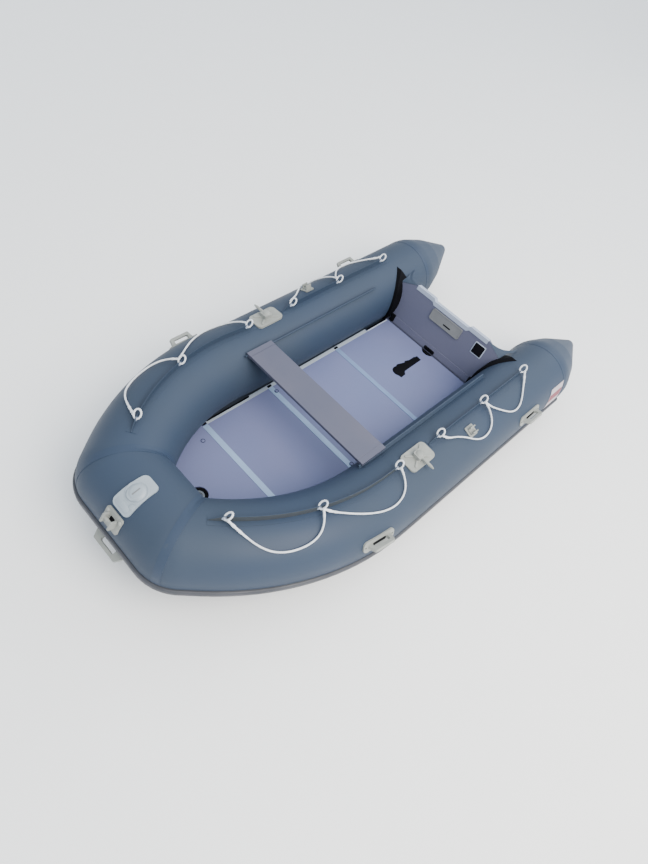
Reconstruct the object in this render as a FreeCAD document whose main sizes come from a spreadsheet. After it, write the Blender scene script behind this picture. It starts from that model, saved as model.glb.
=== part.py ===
import FreeCAD, Part
import Sketcher
import math
import os

# Soft-bottom inflatable boat with a sectional floor and an outboard transom.
# X points to the bow, Y to port and Z up; the tubes and the keel stand on Z = 0.
doc = FreeCAD.newDocument("InflatableBoat")
sheet = doc.addObject("Spreadsheet::Sheet", "Dimensions")

sizes = {
    # Buoyancy tube: radius, spacing and the bends of its centre line from stern to bow.
    "tube_radius": 215,
    "half_spacing": 594,
    "stern_station": -1187.5,
    "rise_station": 275.5,
    "rise_radius": 1368.4,
    "rise_angle": 6.87,
    "fore_run": 15,
    "quarter_radius": 1298.5,
    "quarter_angle": 40,
    "corner_run": 89.7,
    "corner_radius": 30,
    "seat_gap": 0.3,
    "overrun": 40,
    # Stern cones: skin drawn over three balls on one axis that climbs towards the tip.
    "cone_waist_distance": 113,
    "cone_waist_radius": 174,
    "cone_tip_distance": 389.1,
    "cone_tip_radius": 42,
    "cone_tip_rise": 28,
    "cone_start_angle": 15,
    # Rubbing strake: a backing band with a raised half-round, just below the tube's middle.
    "strake_angle": 101,
    "strake_band_width": 56,
    "strake_band_thickness": 3,
    "strake_bead_width": 34,
    "strake_bead_height": 15,
    "strake_aft_distance": 40,
    # Bottom: a shallow vee over the air keel, trimmed to the tubes, with a chafe strip.
    "keel_clearance": 6,
    "keel_rise_start": 312.5,
    "keel_rise_radius": 4600,
    "skin_angle_aft": 28,
    "skin_angle_bow": 8,
    "skin_lap": 40,
    "bow_wall_setback": 234.6,
    "blank_height": 200,
    "bow_shelf_height": 130,
    "chafe_width": 70,
    "chafe_thickness": 4,
    # Floor: boards in joiners and stringers, on top of the bottom.
    "floor_height": 115,
    "board_thickness": 12,
    "channel_wall": 2,
    "floor_side_lap": 13,
    "bow_joint_station": 768.5,
    "mid_joint_station": 284.5,
    "aft_joint_station": -287.5,
    "joiner_width": 34,
    "joiner_web": 4,
    "slim_joiner_width": 30,
    "stringer_flange": 24,
    "stringer_front_station": 752.5,
    "stringer_aft_station": -577.5,
    "board_gap": 0.5,
    "bow_board_gap": 4,
    "bow_board_nose_length": 180,
    "bow_board_nose_inset": 19.6,
    "bow_board_shoulder_share": 0.93,
    "bow_board_corner_share": 0.4,
    "valve_setback": 57,
    "valve_side_offset": -28,
    "valve_hole_radius": 52,
    "valve_boot_height": 7,
    "valve_radius": 33,
    "valve_height": 12,
    # Moulded keyhole plate in the aft board and the scallop that lets water to the drain.
    "keyhole_station": -497.5,
    "keyhole_radius": 40,
    "keyhole_slot_end": -682.5,
    "keyhole_slot_width": 46,
    "keyhole_sink": 1.5,
    "scallop_length": 92,
    "scallop_depth": 26,
    # Transom: raked board with a notched top for the motor, its cap, pads and holders.
    "transom_station": -809.5,
    "transom_rake_angle": 18.3,
    "transom_thickness": 30,
    "transom_foot": 95,
    "transom_shoulder": 315,
    "transom_notch_depth": 16,
    "transom_top_inset": 292,
    "transom_notch_half": 140,
    "transom_notch_slope": 16,
    "transom_wing_inset": 154,
    "transom_wing_height": 255,
    "transom_low_inset": 94,
    "cap_wall": 3,
    "cap_depth": 24,
    "batten_height": 45,
    "batten_thickness": 6,
    "batten_inset": 238,
    "inner_pad_width": 250,
    "inner_pad_height": 78,
    "inner_pad_drop": 8,
    "pad_thickness": 8,
    "pad_corner": 14,
    "outer_pad_width": 270,
    "outer_pad_height": 150,
    "holder_width": 172,
    "holder_thickness": 18,
    "holder_base": 4,
    "holder_low_height": 42,
    "holder_tip_height": 416,
    "drain_height": -52,
    "drain_radius": 30,
    "drain_flange": 6,
    "drain_plug_radius": 17,
    "drain_plug_length": 20,
    # Thwart seat: a board with moulded end caps that slide on the bolt ropes of two tracks.
    "seat_station": 332.5,
    "seat_width": 178,
    "seat_cap_margin": 9.6,
    "seat_top_height": 418,
    "seat_thickness": 20,
    "seat_cap_length": 34,
    "seat_cap_height": 24,
    "seat_cap_chamfer": 6,
    "track_angle": -37,
    "rope_radius": 5,
    "rope_reach": 22,
    "rope_clearance": 0.6,
    "track_web": 3,
    "track_base_width": 34,
    "track_base_thickness": 2,
    "track_front_station": 437.5,
    "track_aft_station": -652.5,
    "track_mouth": 6,
    # Lifeline patches: a tape on top of the tube with a standing fin that carries the eyelets.
    "tape_width": 50,
    "tape_thickness": 1.5,
    "fin_height": 36,
    "fin_thickness": 3,
    "fin_overhang": 70,
    "fin_ramp": 65,
    "fin_toe": 5,
    "eyelet_height": 22,
    "eyelet_wall": 1.6,
    "eyelet_play": 0.8,
    "eyelet_flange_width": 4,
    "eyelet_flange_thickness": 1.5,
    "eyelet_fore_first": 2486,
    "eyelet_fore_second": 2043,
    "eyelet_fore_third": 1513,
    "eyelet_aft_first": 1166,
    "eyelet_aft_second": 770,
    "eyelet_aft_third": 361,
    # Lifelines: rope with a spliced ring at each eyelet, hanging in bays down the tube.
    "lifeline_radius": 5,
    "lifeline_lift": 11,
    "ring_radius": 15,
    "ring_lean_angle": 42,
    "sag_angle_bow": 41,
    "sag_angle_fore": 37,
    "sag_angle_mid": 42,
    "sag_angle_aft": 41,
    "arc_share": 0.45,
    # Moulded fittings that are glued to the tubes.
    "rowlock_distance": 1347,
    "rowlock_angle": 4,
    "rowlock_length": 188,
    "rowlock_width": 112,
    "rowlock_plate": 8,
    "rowlock_corner": 28,
    "rowlock_block_length": 52,
    "rowlock_block_width": 52,
    "rowlock_block_height": 28,
    "rowlock_pin_radius": 8,
    "rowlock_pin_length": 58,
    "rowlock_tip_length": 20,
    "rowlock_tip_share": 0.5,
    "rowlock_pin_height": 26,
    "clip_distance": 952,
    "clip_angle": 22,
    "clip_size": 64,
    "clip_plate": 6,
    "clip_jaw_length": 40,
    "clip_jaw_gap": 24,
    "clip_jaw_wall": 7,
    "clip_jaw_height": 30,
    "handle_fore_distance": 1786,
    "handle_aft_distance": 429,
    "handle_angle": 69.5,
    "handle_length": 206,
    "handle_width": 64,
    "handle_plate": 6,
    "handle_corner": 24,
    "handle_span": 100,
    "handle_foot": 28,
    "handle_rise": 34,
    "grip_radius": 9,
    "handle_sink": 14,
    "bow_handle_angle": 118,
    "bow_handle_length": 236,
    "bow_handle_span": 98,
    "bow_handle_foot": 62,
    "bow_handle_rise": 38,
    # Bow fittings: the moulded pad over the bow and the towing bracket below it.
    "bow_pad_angle": 25,
    "bow_pad_length": 190,
    "bow_pad_fore_width": 118,
    "bow_pad_aft_width": 98,
    "bow_pad_thickness": 9,
    "bow_pad_corner": 26,
    "bow_pad_disc_radius": 33,
    "bow_pad_disc_height": 7,
    "bracket_angle": 66,
    "bracket_length": 86,
    "bracket_width": 112,
    "bracket_plate": 7,
    "bracket_corner": 12,
    "bracket_cheek_gap": 46,
    "bracket_cheek": 10,
    "bracket_cheek_height": 34,
    "bracket_cheek_length": 44,
    "bracket_pin_radius": 8,
    # Smallest line that an outline draws, as a share of the seat gap.
    "tiny_share": 0.01,
}
for row, (alias, value) in enumerate(sizes.items(), start=1):
    sheet.set("A%d" % row, alias)
    sheet.set("B%d" % row, str(value))
    sheet.setAlias("B%d" % row, alias)
doc.recompute()


def size(alias):
    return float(sheet.get(alias))


def vec(x, y, z):
    return FreeCAD.Vector(x, y, z)


up_axis = vec(0, 0, 1)
port_axis = vec(0, 1, 0)
bow_axis = vec(1, 0, 0)
origin = vec(0, 0, 0)


def placed(at, x_axis, z_axis):
    """Placement of a local frame whose X and Z axes are given."""
    y_axis = z_axis.cross(x_axis)
    return FreeCAD.Placement(FreeCAD.Matrix(
        x_axis.x, y_axis.x, z_axis.x, at.x,
        x_axis.y, y_axis.y, z_axis.y, at.y,
        x_axis.z, y_axis.z, z_axis.z, at.z,
        0, 0, 0, 1))


def turned(vector, axis, degrees):
    return FreeCAD.Rotation(axis, degrees).multVec(vector)


# Centre line of the port half of the tube, walked from the stern to the middle of the bow.
radius = size("tube_radius")
right_angle = math.degrees(math.pi / 2)
half_turn_left = right_angle - size("quarter_angle")
nose_half_run = (
    size("half_spacing")
    - size("quarter_radius") * (1 - math.cos(math.radians(size("quarter_angle"))))
    - size("corner_run") * math.sin(math.radians(size("quarter_angle")))
    - size("corner_radius") * math.cos(math.radians(size("quarter_angle"))))


class Stretch:
    """One straight run or circular bend of the centre line."""

    def __init__(self, start, tangent, up, length, bend_radius=None, axis=None):
        self.start = start
        self.tangent = tangent
        self.up = up
        self.length = length
        self.bend_radius = bend_radius
        self.axis = axis
        if bend_radius:
            self.centre = start + axis.cross(tangent) * bend_radius
            self.angle = math.degrees(length / bend_radius)

    def at(self, distance):
        """Point, tangent and up vector at a distance along the stretch."""
        if not self.bend_radius:
            return self.start + self.tangent * distance, self.tangent, self.up
        angle = math.degrees(distance / self.bend_radius)
        point = self.centre + turned(self.start - self.centre, self.axis, angle)
        return point, turned(self.tangent, self.axis, angle), turned(self.up, self.axis, angle)


def walk_hull():
    """The stretches of the port half, in order."""
    stretches = []
    state = [vec(size("stern_station"), size("half_spacing"), radius), bow_axis, up_axis]

    def add(length, bend_radius=None, axis=None):
        stretch = Stretch(state[0], state[1], state[2], length, bend_radius, axis)
        stretches.append(stretch)
        state[0], state[1], state[2] = stretch.at(length)

    add(size("rise_station") - size("stern_station"))
    add(size("rise_radius") * math.radians(size("rise_angle")), size("rise_radius"), -port_axis)
    add(size("fore_run"))
    add(size("quarter_radius") * math.radians(size("quarter_angle")), size("quarter_radius"), -state[2])
    add(size("corner_run"))
    add(size("corner_radius") * math.radians(half_turn_left), size("corner_radius"), -state[2])
    add(nose_half_run)
    return stretches


hull = walk_hull()
side_stretches = hull[:5]
half_length = sum(stretch.length for stretch in hull)
bow_line = hull[-1].at(nose_half_run)[0].x


def hull_frame(distance):
    """Point, tangent and up vector at a distance from the stern along the centre line."""
    for stretch in hull[:-1]:
        if distance <= stretch.length:
            return stretch.at(distance)
        distance -= stretch.length
    return hull[-1].at(distance)


def on_tube(distance, angle, lift=0):
    """Frame on the port tube's skin: X along the tube, Z out of it; angle 0 is the top."""
    point, tangent, up = hull_frame(distance)
    normal = turned(up, tangent, -angle)
    return placed(point + normal * (radius + lift), tangent, normal)


def swept(face, stretches):
    """Solid of a flat face, drawn with X outboard and Y up, carried along the stretches."""
    parts = []
    for stretch in stretches:
        outboard = stretch.up.cross(stretch.tangent)
        blank = face.copy()
        blank.Placement = placed(stretch.start, outboard, stretch.tangent).multiply(face.Placement)
        if stretch.bend_radius:
            parts.append(blank.revolve(stretch.centre, stretch.axis, stretch.angle))
        else:
            parts.append(blank.extrude(stretch.tangent * stretch.length))
    joined = parts[0]
    if len(parts) > 1:
        joined = parts[0].fuse(parts[1:]).removeSplitter()
    return joined


def disc(disc_radius):
    return Part.Face(Part.Wire(Part.makeCircle(disc_radius)))


def mirrored_shape(shape):
    return shape.mirror(origin, port_axis)


def feature(name, shape):
    thing = doc.addObject("Part::Feature", name)
    thing.Label = name
    thing.Shape = shape
    return thing


def mirror_of(name, source):
    """The starboard twin of a port piece."""
    twin = doc.addObject("Part::Mirroring", name)
    twin.Label = name
    twin.Source = source
    twin.Base = origin
    twin.Normal = port_axis
    return twin


def cut_by(name, base, tool):
    cut = doc.addObject("Part::Cut", name)
    cut.Label = name
    cut.Base = base
    cut.Tool = tool
    return cut


def fused(name, pieces, refine=True):
    joined = doc.addObject("Part::MultiFuse", name)
    joined.Label = name
    joined.Shapes = pieces
    joined.Refine = refine
    return joined


def new_body(name, placement=None):
    body = doc.addObject("PartDesign::Body", name)
    body.Label = name
    if placement:
        body.Placement = placement
    return body


def new_sketch(body, role, shift=None):
    """Sketch on one of the body's own origin planes, shifted along the plane's axes if asked."""
    sketch = body.newObject("Sketcher::SketchObject", body.Name + "_outline")
    plane = [item for item in body.Origin.OriginFeatures if item.Role == role][0]
    sketch.AttachmentSupport = [(plane, "")]
    sketch.MapMode = "FlatFace"
    if shift:
        sketch.AttachmentOffset = FreeCAD.Placement(shift, FreeCAD.Rotation())
    return sketch


def draw(sketch, points):
    """Close an outline through (x, y) or (x, y, rounding) points."""
    count = len(points)
    corners = [vec(point[0], point[1], 0) for point in points]
    rounds = [point[2] if len(point) > 2 else 0 for point in points]
    starts = []
    ends = []
    for index in range(count):
        here = corners[index]
        back = corners[index - 1] - here
        ahead = corners[(index + 1) % count] - here
        back.normalize()
        ahead.normalize()
        reach = 0
        if rounds[index]:
            reach = rounds[index] / math.tan(back.getAngle(ahead) / 2)
        starts.append(here + back * reach)
        ends.append(here + ahead * reach)
        if rounds[index]:
            middle = back + ahead
            middle.normalize()
            half_angle = back.getAngle(ahead) / 2
            crown = here + middle * (rounds[index] / math.sin(half_angle) - rounds[index])
            sketch.addGeometry(Part.Arc(starts[index], crown, ends[index]), False)
    for index in range(count):
        follower = (index + 1) % count
        if (starts[follower] - ends[index]).Length > size("seat_gap") * size("tiny_share"):
            sketch.addGeometry(Part.LineSegment(ends[index], starts[follower]), False)


def draw_circle(sketch, circle_radius, x=0, y=0):
    """Add a circle whose radius stays bound to a sheet cell."""
    index = sketch.addGeometry(Part.Circle(vec(x, y, 0), up_axis, size(circle_radius)), False)
    rule = sketch.addConstraint(Sketcher.Constraint("Radius", index, size(circle_radius)))
    sketch.setExpression("Constraints[%d]" % rule, "Dimensions." + circle_radius)


def pad(body, sketch, length, centred=False, reverse=False):
    """Pad a sketch by a length given as a sheet expression."""
    step = body.newObject("PartDesign::Pad", body.Name + "_pad")
    step.Profile = sketch
    step.setExpression("Length", length)
    step.SideType = "Symmetric" if centred else "One side"
    step.Reversed = reverse
    return step


def pocket(body, sketch, length, centred=False, reverse=False):
    step = body.newObject("PartDesign::Pocket", body.Name + "_pocket")
    step.Profile = sketch
    step.setExpression("Length", length)
    step.SideType = "Symmetric" if centred else "One side"
    step.Reversed = reverse
    return step


def rectangle(x_low, x_high, y_low, y_high, corner=0):
    return [(x_low, y_low, corner), (x_high, y_low, corner),
            (x_high, y_high, corner), (x_low, y_high, corner)]


# Buoyancy tubes: cylinders and torus bends, mitred at the bow corners where the seams run.
corner = hull[5]
outboard_at_corner = corner.up.cross(corner.tangent)


def tube_segment(name, stretch):
    outboard = stretch.up.cross(stretch.tangent)
    if not stretch.bend_radius:
        run = doc.addObject("Part::Cylinder", name)
        run.setExpression("Radius", "Dimensions.tube_radius")
        run.Height = stretch.length
        run.Placement = placed(stretch.start, outboard, stretch.tangent)
        return run
    bend = doc.addObject("Part::Torus", name)
    bend.setExpression("Radius2", "Dimensions.tube_radius")
    bend.Radius1 = stretch.bend_radius
    bend.Angle1 = -180
    bend.Angle2 = 180
    bend.Angle3 = stretch.angle
    spoke = (stretch.start - stretch.centre).normalize()
    bend.Placement = placed(stretch.centre, spoke, stretch.axis)
    return bend


def corner_outline(disc_radius):
    """Outer part of the tube's disc, cut off at the bend axis, which lies on Y."""
    middle = corner.bend_radius
    top = math.sqrt(disc_radius ** 2 - middle ** 2)
    return [Part.Arc(vec(0, -top, 0), vec(middle + disc_radius, 0, 0), vec(0, top, 0)),
            Part.LineSegment(vec(0, top, 0), vec(0, -top, 0))]


def build_corner():
    """Wedge of the tube's outer part, turned about the bend axis of the corner."""
    body = new_body("corner_wedge", placed(corner.centre, outboard_at_corner, corner.tangent))
    sketch = new_sketch(body, "XY_Plane")
    for edge in corner_outline(radius):
        sketch.addGeometry(edge, False)
    turn = body.newObject("PartDesign::Revolution", "corner_turn")
    turn.Profile = sketch
    turn.ReferenceAxis = (sketch, ["V_Axis"])
    turn.Angle = corner.angle
    turn.Reversed = True
    return body


def mitre_block(name, ahead):
    """Block on one side of the upright plane that halves the corner."""
    along = turned(corner.tangent, corner.axis, corner.angle / 2)
    reach = 2 * radius + size("corner_radius")
    block = doc.addObject("Part::Box", name)
    for side in ("Length", "Width", "Height"):
        block.setExpression(side, "2 * (2 * Dimensions.tube_radius + Dimensions.corner_radius)")
    inward = corner.up.cross(along)
    start = corner.centre - inward * reach - corner.up * reach
    if not ahead:
        start = start - along * 2 * reach
    block.Placement = placed(start, along, corner.up)
    return block


corner_wedge = build_corner()
mitre_ahead = mitre_block("mitre_ahead", True)
mitre_behind = mitre_block("mitre_behind", False)
side_blank = fused("side_blank", [
    tube_segment("side_segment", stretch) for stretch in side_stretches] + [corner_wedge])
tube_port = cut_by("tube_port", side_blank, mitre_ahead)
tube_starboard = mirror_of("tube_starboard", tube_port)
nose_segment = tube_segment("nose_segment", hull[-1])
nose_blank = fused("nose_blank", [
    nose_segment, corner_wedge, mirror_of("nose_segment_twin", nose_segment),
    mirror_of("corner_wedge_twin", corner_wedge)])
nose_ends = fused("nose_ends", [mitre_behind, mirror_of("mitre_behind_twin", mitre_behind)])
tube_bow = cut_by("tube_bow", nose_blank, nose_ends)


def tube_blank(extra):
    """The whole tube, both sides and nose, thickened by an allowance."""
    wedge = Part.Face(Part.Wire([edge.toShape() for edge in corner_outline(radius + extra)]))
    wedge.Placement = placed(corner.centre, outboard_at_corner, corner.tangent)
    port_half = swept(disc(radius + extra), side_stretches).fuse([
        wedge.revolve(corner.centre, corner.axis, corner.angle),
        swept(disc(radius + extra), hull[-1:])])
    return port_half.fuse(mirrored_shape(port_half))


tube_room = tube_blank(size("seat_gap"))
tube_cutter = feature("tube_cutter", tube_room)


# Stern cones: the outline over the three balls, turned about their axis and cut at the tube's end.
def build_cone():
    stern = vec(size("stern_station"), size("half_spacing"), radius)
    climb = vec(-size("cone_tip_distance"), 0, size("cone_tip_rise"))
    body = new_body("cone_blank", placed(stern, port_axis, climb.normalize()))
    sketch = new_sketch(body, "XZ_Plane")
    balls = [(0, radius), (size("cone_waist_distance"), size("cone_waist_radius")),
             (size("cone_tip_distance"), size("cone_tip_radius"))]

    def on_ball(ball, angle):
        return vec(ball[1] * math.cos(angle), ball[0] + ball[1] * math.sin(angle), 0)

    slopes = [-math.radians(size("cone_start_angle"))]
    for near, far in zip(balls, balls[1:]):
        slopes.append(math.asin((near[1] - far[1]) / (far[0] - near[0])))
    slopes.append(math.pi / 2)
    for index, ball in enumerate(balls):
        middle = (slopes[index] + slopes[index + 1]) / 2
        sketch.addGeometry(Part.Arc(
            on_ball(ball, slopes[index]), on_ball(ball, middle), on_ball(ball, slopes[index + 1])), False)
    for near, far, slope in zip(balls, balls[1:], slopes[1:]):
        sketch.addGeometry(Part.LineSegment(on_ball(near, slope), on_ball(far, slope)), False)
    first = on_ball(balls[0], slopes[0])
    foot = vec(0, first.y, 0)
    sketch.addGeometry(Part.LineSegment(on_ball(balls[-1], slopes[-1]), foot), False)
    sketch.addGeometry(Part.LineSegment(foot, first), False)
    turn = body.newObject("PartDesign::Revolution", "cone_turn")
    turn.Profile = sketch
    turn.ReferenceAxis = (sketch, ["V_Axis"])
    end_block = doc.addObject("Part::Box", "cone_end_block")
    for side in ("Length", "Width", "Height"):
        end_block.setExpression(side, "2 * (Dimensions.tube_radius + Dimensions.overrun)")
    reach = radius + size("overrun")
    end_block.Placement = FreeCAD.Placement(stern - vec(0, reach, reach), FreeCAD.Rotation())
    return cut_by("cone_port", body, end_block)


cone_port = build_cone()
cone_starboard = mirror_of("cone_starboard", cone_port)


# Rubbing strake: band and half-round bead, drawn at the tube's section and carried round it.
def polar(reach, angle):
    """Point of the tube's section at a reach from its axis; angle is measured from the top."""
    return vec(reach * math.sin(math.radians(angle)), reach * math.cos(math.radians(angle)), 0)


def strake_face():
    inner = radius + size("seat_gap")
    outer = inner + size("strake_band_thickness")
    half_band = math.degrees(size("strake_band_width") / 2 / radius)
    half_bead = math.degrees(size("strake_bead_width") / 2 / radius)
    middle = size("strake_angle")
    crown = inner + size("strake_bead_height")
    flank = (half_band + half_bead) / 2
    edges = [
        Part.Arc(polar(inner, middle - half_band), polar(inner, middle),
                 polar(inner, middle + half_band)).toShape(),
        Part.makeLine(polar(inner, middle + half_band), polar(outer, middle + half_band)),
        Part.Arc(polar(outer, middle + half_band), polar(outer, middle + flank),
                 polar(outer, middle + half_bead)).toShape(),
        Part.Arc(polar(outer, middle + half_bead), polar(crown, middle),
                 polar(outer, middle - half_bead)).toShape(),
        Part.Arc(polar(outer, middle - half_bead), polar(outer, middle - flank),
                 polar(outer, middle - half_band)).toShape(),
        Part.makeLine(polar(outer, middle - half_band), polar(inner, middle - half_band))]
    return Part.Face(Part.Wire(edges))


def hull_between(first_distance, last_distance):
    """The stretches, or parts of them, between two distances from the stern."""
    kept = []
    passed = 0
    for stretch in hull:
        low = max(0, first_distance - passed)
        high = min(stretch.length, last_distance - passed)
        if low < high:
            start, tangent, up = stretch.at(low)
            kept.append(Stretch(start, tangent, up, high - low, stretch.bend_radius, stretch.axis))
        passed += stretch.length
    return kept


strake_half = swept(strake_face(), hull_between(size("strake_aft_distance"), half_length))
rub_strake = feature("rub_strake", strake_half.fuse(mirrored_shape(strake_half)).removeSplitter())


# Transom frame: X to port, Y up the rake and Z forward, with its origin on the floor line.
rake = math.radians(size("transom_rake_angle"))
transom_forward = vec(math.cos(rake), 0, math.sin(rake))
transom_origin = vec(size("transom_station"), 0, size("floor_height"))
transom_frame = placed(transom_origin, port_axis, transom_forward)


# Bottom: vee sections from the keel line to the underside of the tubes, trimmed to both.
def keel_height(station):
    run = max(0, station - size("keel_rise_start"))
    return size("keel_clearance") + run * run / (2 * size("keel_rise_radius"))


def skin_points(distance):
    """Where the skin meets the underside of the tube at a distance from the stern."""
    point, tangent, up = hull_frame(distance)
    outboard = up.cross(tangent)
    share = max(0, distance - hull[0].length) / (half_length - hull[0].length)
    opening = size("skin_angle_bow") - size("skin_angle_aft")
    lower = math.radians(size("skin_angle_aft") + opening * share)
    return point - outboard * (radius * math.sin(lower)) - up * (radius * math.cos(lower))


nose_stations = 7
skin_distances = [0, hull[0].length] + [
    hull[0].length + (half_length - nose_half_run - hull[0].length) * step / nose_stations
    for step in range(1, nose_stations + 1)]


def vee_sections(width_of, top_of, drop):
    """Closed sections across the boat: keel below, a half width and a top height at each station."""
    wires = []
    for distance in skin_distances:
        landing = skin_points(distance)
        if distance == skin_distances[0]:
            landing.x = size("stern_station")
        keel = keel_height(landing.x)
        slope = (landing.z - keel) / landing.y
        half_width = width_of(landing)
        side = keel + slope * half_width
        top = top_of(keel, side)
        corners = [vec(landing.x, 0, keel - drop), vec(landing.x, half_width, side - drop),
                   vec(landing.x, half_width, top[1]), vec(landing.x, 0, top[0]),
                   vec(landing.x, -half_width, top[1]), vec(landing.x, -half_width, side - drop)]
        wires.append(Part.makePolygon(corners + corners[:1]))
    return wires


def behind_transom():
    """Block that fills the space behind the transom's forward face."""
    span = size("half_spacing")
    block = Part.makeBox(2 * span, 2 * span, span)
    block.Placement = transom_frame.multiply(
        FreeCAD.Placement(vec(-span, -span, -span), FreeCAD.Rotation()))
    return block


bow_wall = bow_line - size("bow_wall_setback")


def build_bottom():
    top = size("blank_height")
    blank = Part.makeLoft(vee_sections(
        lambda landing: landing.y + size("skin_lap"), lambda keel, side: (top, top), 0), True, True)
    deck = size("floor_height") - size("board_thickness") - size("channel_wall")
    span = size("half_spacing")
    aft = size("stern_station") - size("overrun")
    cockpit = Part.makeBox(bow_wall - aft, 2 * span, top, vec(aft, -span, deck))
    above_shelf = Part.makeBox(span, 2 * span, top, vec(bow_wall, -span, size("bow_shelf_height")))
    return blank.cut([cockpit, above_shelf, tube_room, behind_transom()])


bottom_skin = feature("bottom_skin", build_bottom())


def build_chafe_strip():
    half_width = size("chafe_width") / 2
    gap = size("seat_gap")
    strip = Part.makeLoft(vee_sections(
        lambda landing: half_width,
        lambda keel, side: (keel - gap, side - gap), size("chafe_thickness") + gap), True, True)
    return strip.cut([behind_transom(), tube_room])


keel_strip = feature("keel_strip", build_chafe_strip())


# Floor boards: flat plates between the joiners; the bow board has a rounded nose.
board_level = size("floor_height") - size("board_thickness")
floor_half = size("half_spacing") - radius + size("floor_side_lap")
board_half = floor_half - size("channel_wall") - size("board_gap")
web_half = size("joiner_web") / 2 + size("board_gap")
bow_board_front = bow_wall - size("bow_board_gap")
valve_station = bow_board_front - size("valve_setback")


def floor_body(name):
    return new_body(name, FreeCAD.Placement(vec(0, 0, board_level), FreeCAD.Rotation()))


def build_board(name, aft, front):
    body = floor_body(name)
    sketch = new_sketch(body, "XY_Plane")
    draw(sketch, rectangle(aft, front, -board_half, board_half))
    pad(body, sketch, "Dimensions.board_thickness")
    return body


def build_bow_board():
    body = floor_body("floor_board_bow")
    sketch = new_sketch(body, "XY_Plane")
    aft = size("bow_joint_station") + web_half
    nose = nose_half_run - size("bow_board_nose_inset")
    shoulder = board_half * size("bow_board_shoulder_share")
    corner_round = nose * size("bow_board_corner_share")
    front = bow_board_front
    narrowing = front - size("bow_board_nose_length")
    draw(sketch, [
        (aft, -board_half), (narrowing, -shoulder, nose), (front, -nose, corner_round),
        (front, nose, corner_round), (narrowing, shoulder, nose), (aft, board_half)])
    pad(body, sketch, "Dimensions.board_thickness")
    hole = new_sketch(body, "XY_Plane")
    draw_circle(hole, "valve_hole_radius", valve_station, size("valve_side_offset"))
    pocket(body, hole, "Dimensions.board_thickness", reverse=True)
    return body


def keyhole_outline(clearance):
    """Round end and straight slot of the keyhole, grown by a clearance."""
    half_slot = size("keyhole_slot_width") / 2 + clearance
    head = size("keyhole_radius") + clearance
    neck = size("keyhole_station") - math.sqrt(head * head - half_slot * half_slot)
    tail = size("keyhole_slot_end") - clearance
    return head, half_slot, neck, tail


def draw_keyhole(sketch, clearance):
    head, half_slot, neck, tail = keyhole_outline(clearance)
    crown = vec(size("keyhole_station") + head, 0, 0)
    sketch.addGeometry(Part.Arc(vec(neck, -half_slot, 0), crown, vec(neck, half_slot, 0)), False)
    sketch.addGeometry(Part.LineSegment(vec(neck, half_slot, 0), vec(tail, half_slot, 0)), False)
    sketch.addGeometry(Part.LineSegment(vec(tail, half_slot, 0), vec(tail, -half_slot, 0)), False)
    sketch.addGeometry(Part.LineSegment(vec(tail, -half_slot, 0), vec(neck, -half_slot, 0)), False)


def build_aft_board():
    body = floor_body("floor_board_aft")
    sketch = new_sketch(body, "XY_Plane")
    aft = size("transom_station") + size("batten_thickness") + size("board_thickness")
    front = size("aft_joint_station") - web_half
    draw(sketch, rectangle(aft, front, -board_half, board_half))
    pad(body, sketch, "Dimensions.board_thickness")
    slot = new_sketch(body, "XY_Plane")
    draw_keyhole(slot, size("seat_gap"))
    pocket(body, slot, "Dimensions.board_thickness", reverse=True)
    scallop = new_sketch(body, "XY_Plane")
    half_mouth = size("scallop_length") / 2
    depth = size("scallop_depth")
    scallop.addGeometry(
        Part.Arc(vec(aft, -half_mouth, 0), vec(aft + depth, 0, 0), vec(aft, half_mouth, 0)), False)
    scallop.addGeometry(Part.LineSegment(vec(aft, half_mouth, 0), vec(aft, -half_mouth, 0)), False)
    pocket(body, scallop, "Dimensions.board_thickness", reverse=True)
    return body


def build_keyhole_plate():
    body = floor_body("keyhole_plate")
    sketch = new_sketch(body, "XY_Plane")
    draw_keyhole(sketch, 0)
    pad(body, sketch, "Dimensions.board_thickness - Dimensions.keyhole_sink")
    return body


floor_board_bow = build_bow_board()
floor_board_fore = build_board(
    "floor_board_fore", size("mid_joint_station") + web_half, size("bow_joint_station") - web_half)
floor_board_mid = build_board(
    "floor_board_mid", size("aft_joint_station") + web_half, size("mid_joint_station") - web_half)
floor_board_aft = build_aft_board()
keyhole_plate = build_keyhole_plate()


# Joiners: aluminium H sections across the boat that hold two board edges each.
def build_joiner(name, station, width):
    at = vec(station, 0, board_level)
    body = new_body(name, placed(at, bow_axis, -port_axis))
    sketch = new_sketch(body, "XY_Plane")
    flange = size(width) / 2
    web = size("joiner_web") / 2
    wall = size("channel_wall")
    top = size("board_thickness")
    draw(sketch, [
        (-flange, -wall), (flange, -wall), (flange, 0), (web, 0), (web, top), (flange, top),
        (flange, top + wall), (-flange, top + wall), (-flange, top), (-web, top), (-web, 0),
        (-flange, 0)])
    pad(body, sketch, "2 * (Dimensions.half_spacing - Dimensions.tube_radius + Dimensions.floor_side_lap"
                      " - Dimensions.stringer_flange - Dimensions.board_gap)", centred=True)
    return body


joiner_fore = build_joiner("joiner_fore", size("bow_joint_station"), "joiner_width")
joiner_mid = build_joiner("joiner_mid", size("mid_joint_station"), "joiner_width")
joiner_aft = build_joiner("joiner_aft", size("aft_joint_station"), "slim_joiner_width")


# Stringers: aluminium channels that clasp the boards' outer edges and tie them in line.
def build_stringer():
    at = vec(size("stringer_aft_station"), floor_half, board_level)
    body = new_body("stringer_port", placed(at, port_axis, bow_axis))
    sketch = new_sketch(body, "XY_Plane")
    wall = size("channel_wall")
    reach = size("stringer_flange")
    top = size("board_thickness")
    draw(sketch, [
        (0, -wall), (0, top + wall), (-reach, top + wall), (-reach, top), (-wall, top),
        (-wall, 0), (-reach, 0), (-reach, -wall)])
    pad(body, sketch, "Dimensions.stringer_front_station - Dimensions.stringer_aft_station")
    return body


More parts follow.
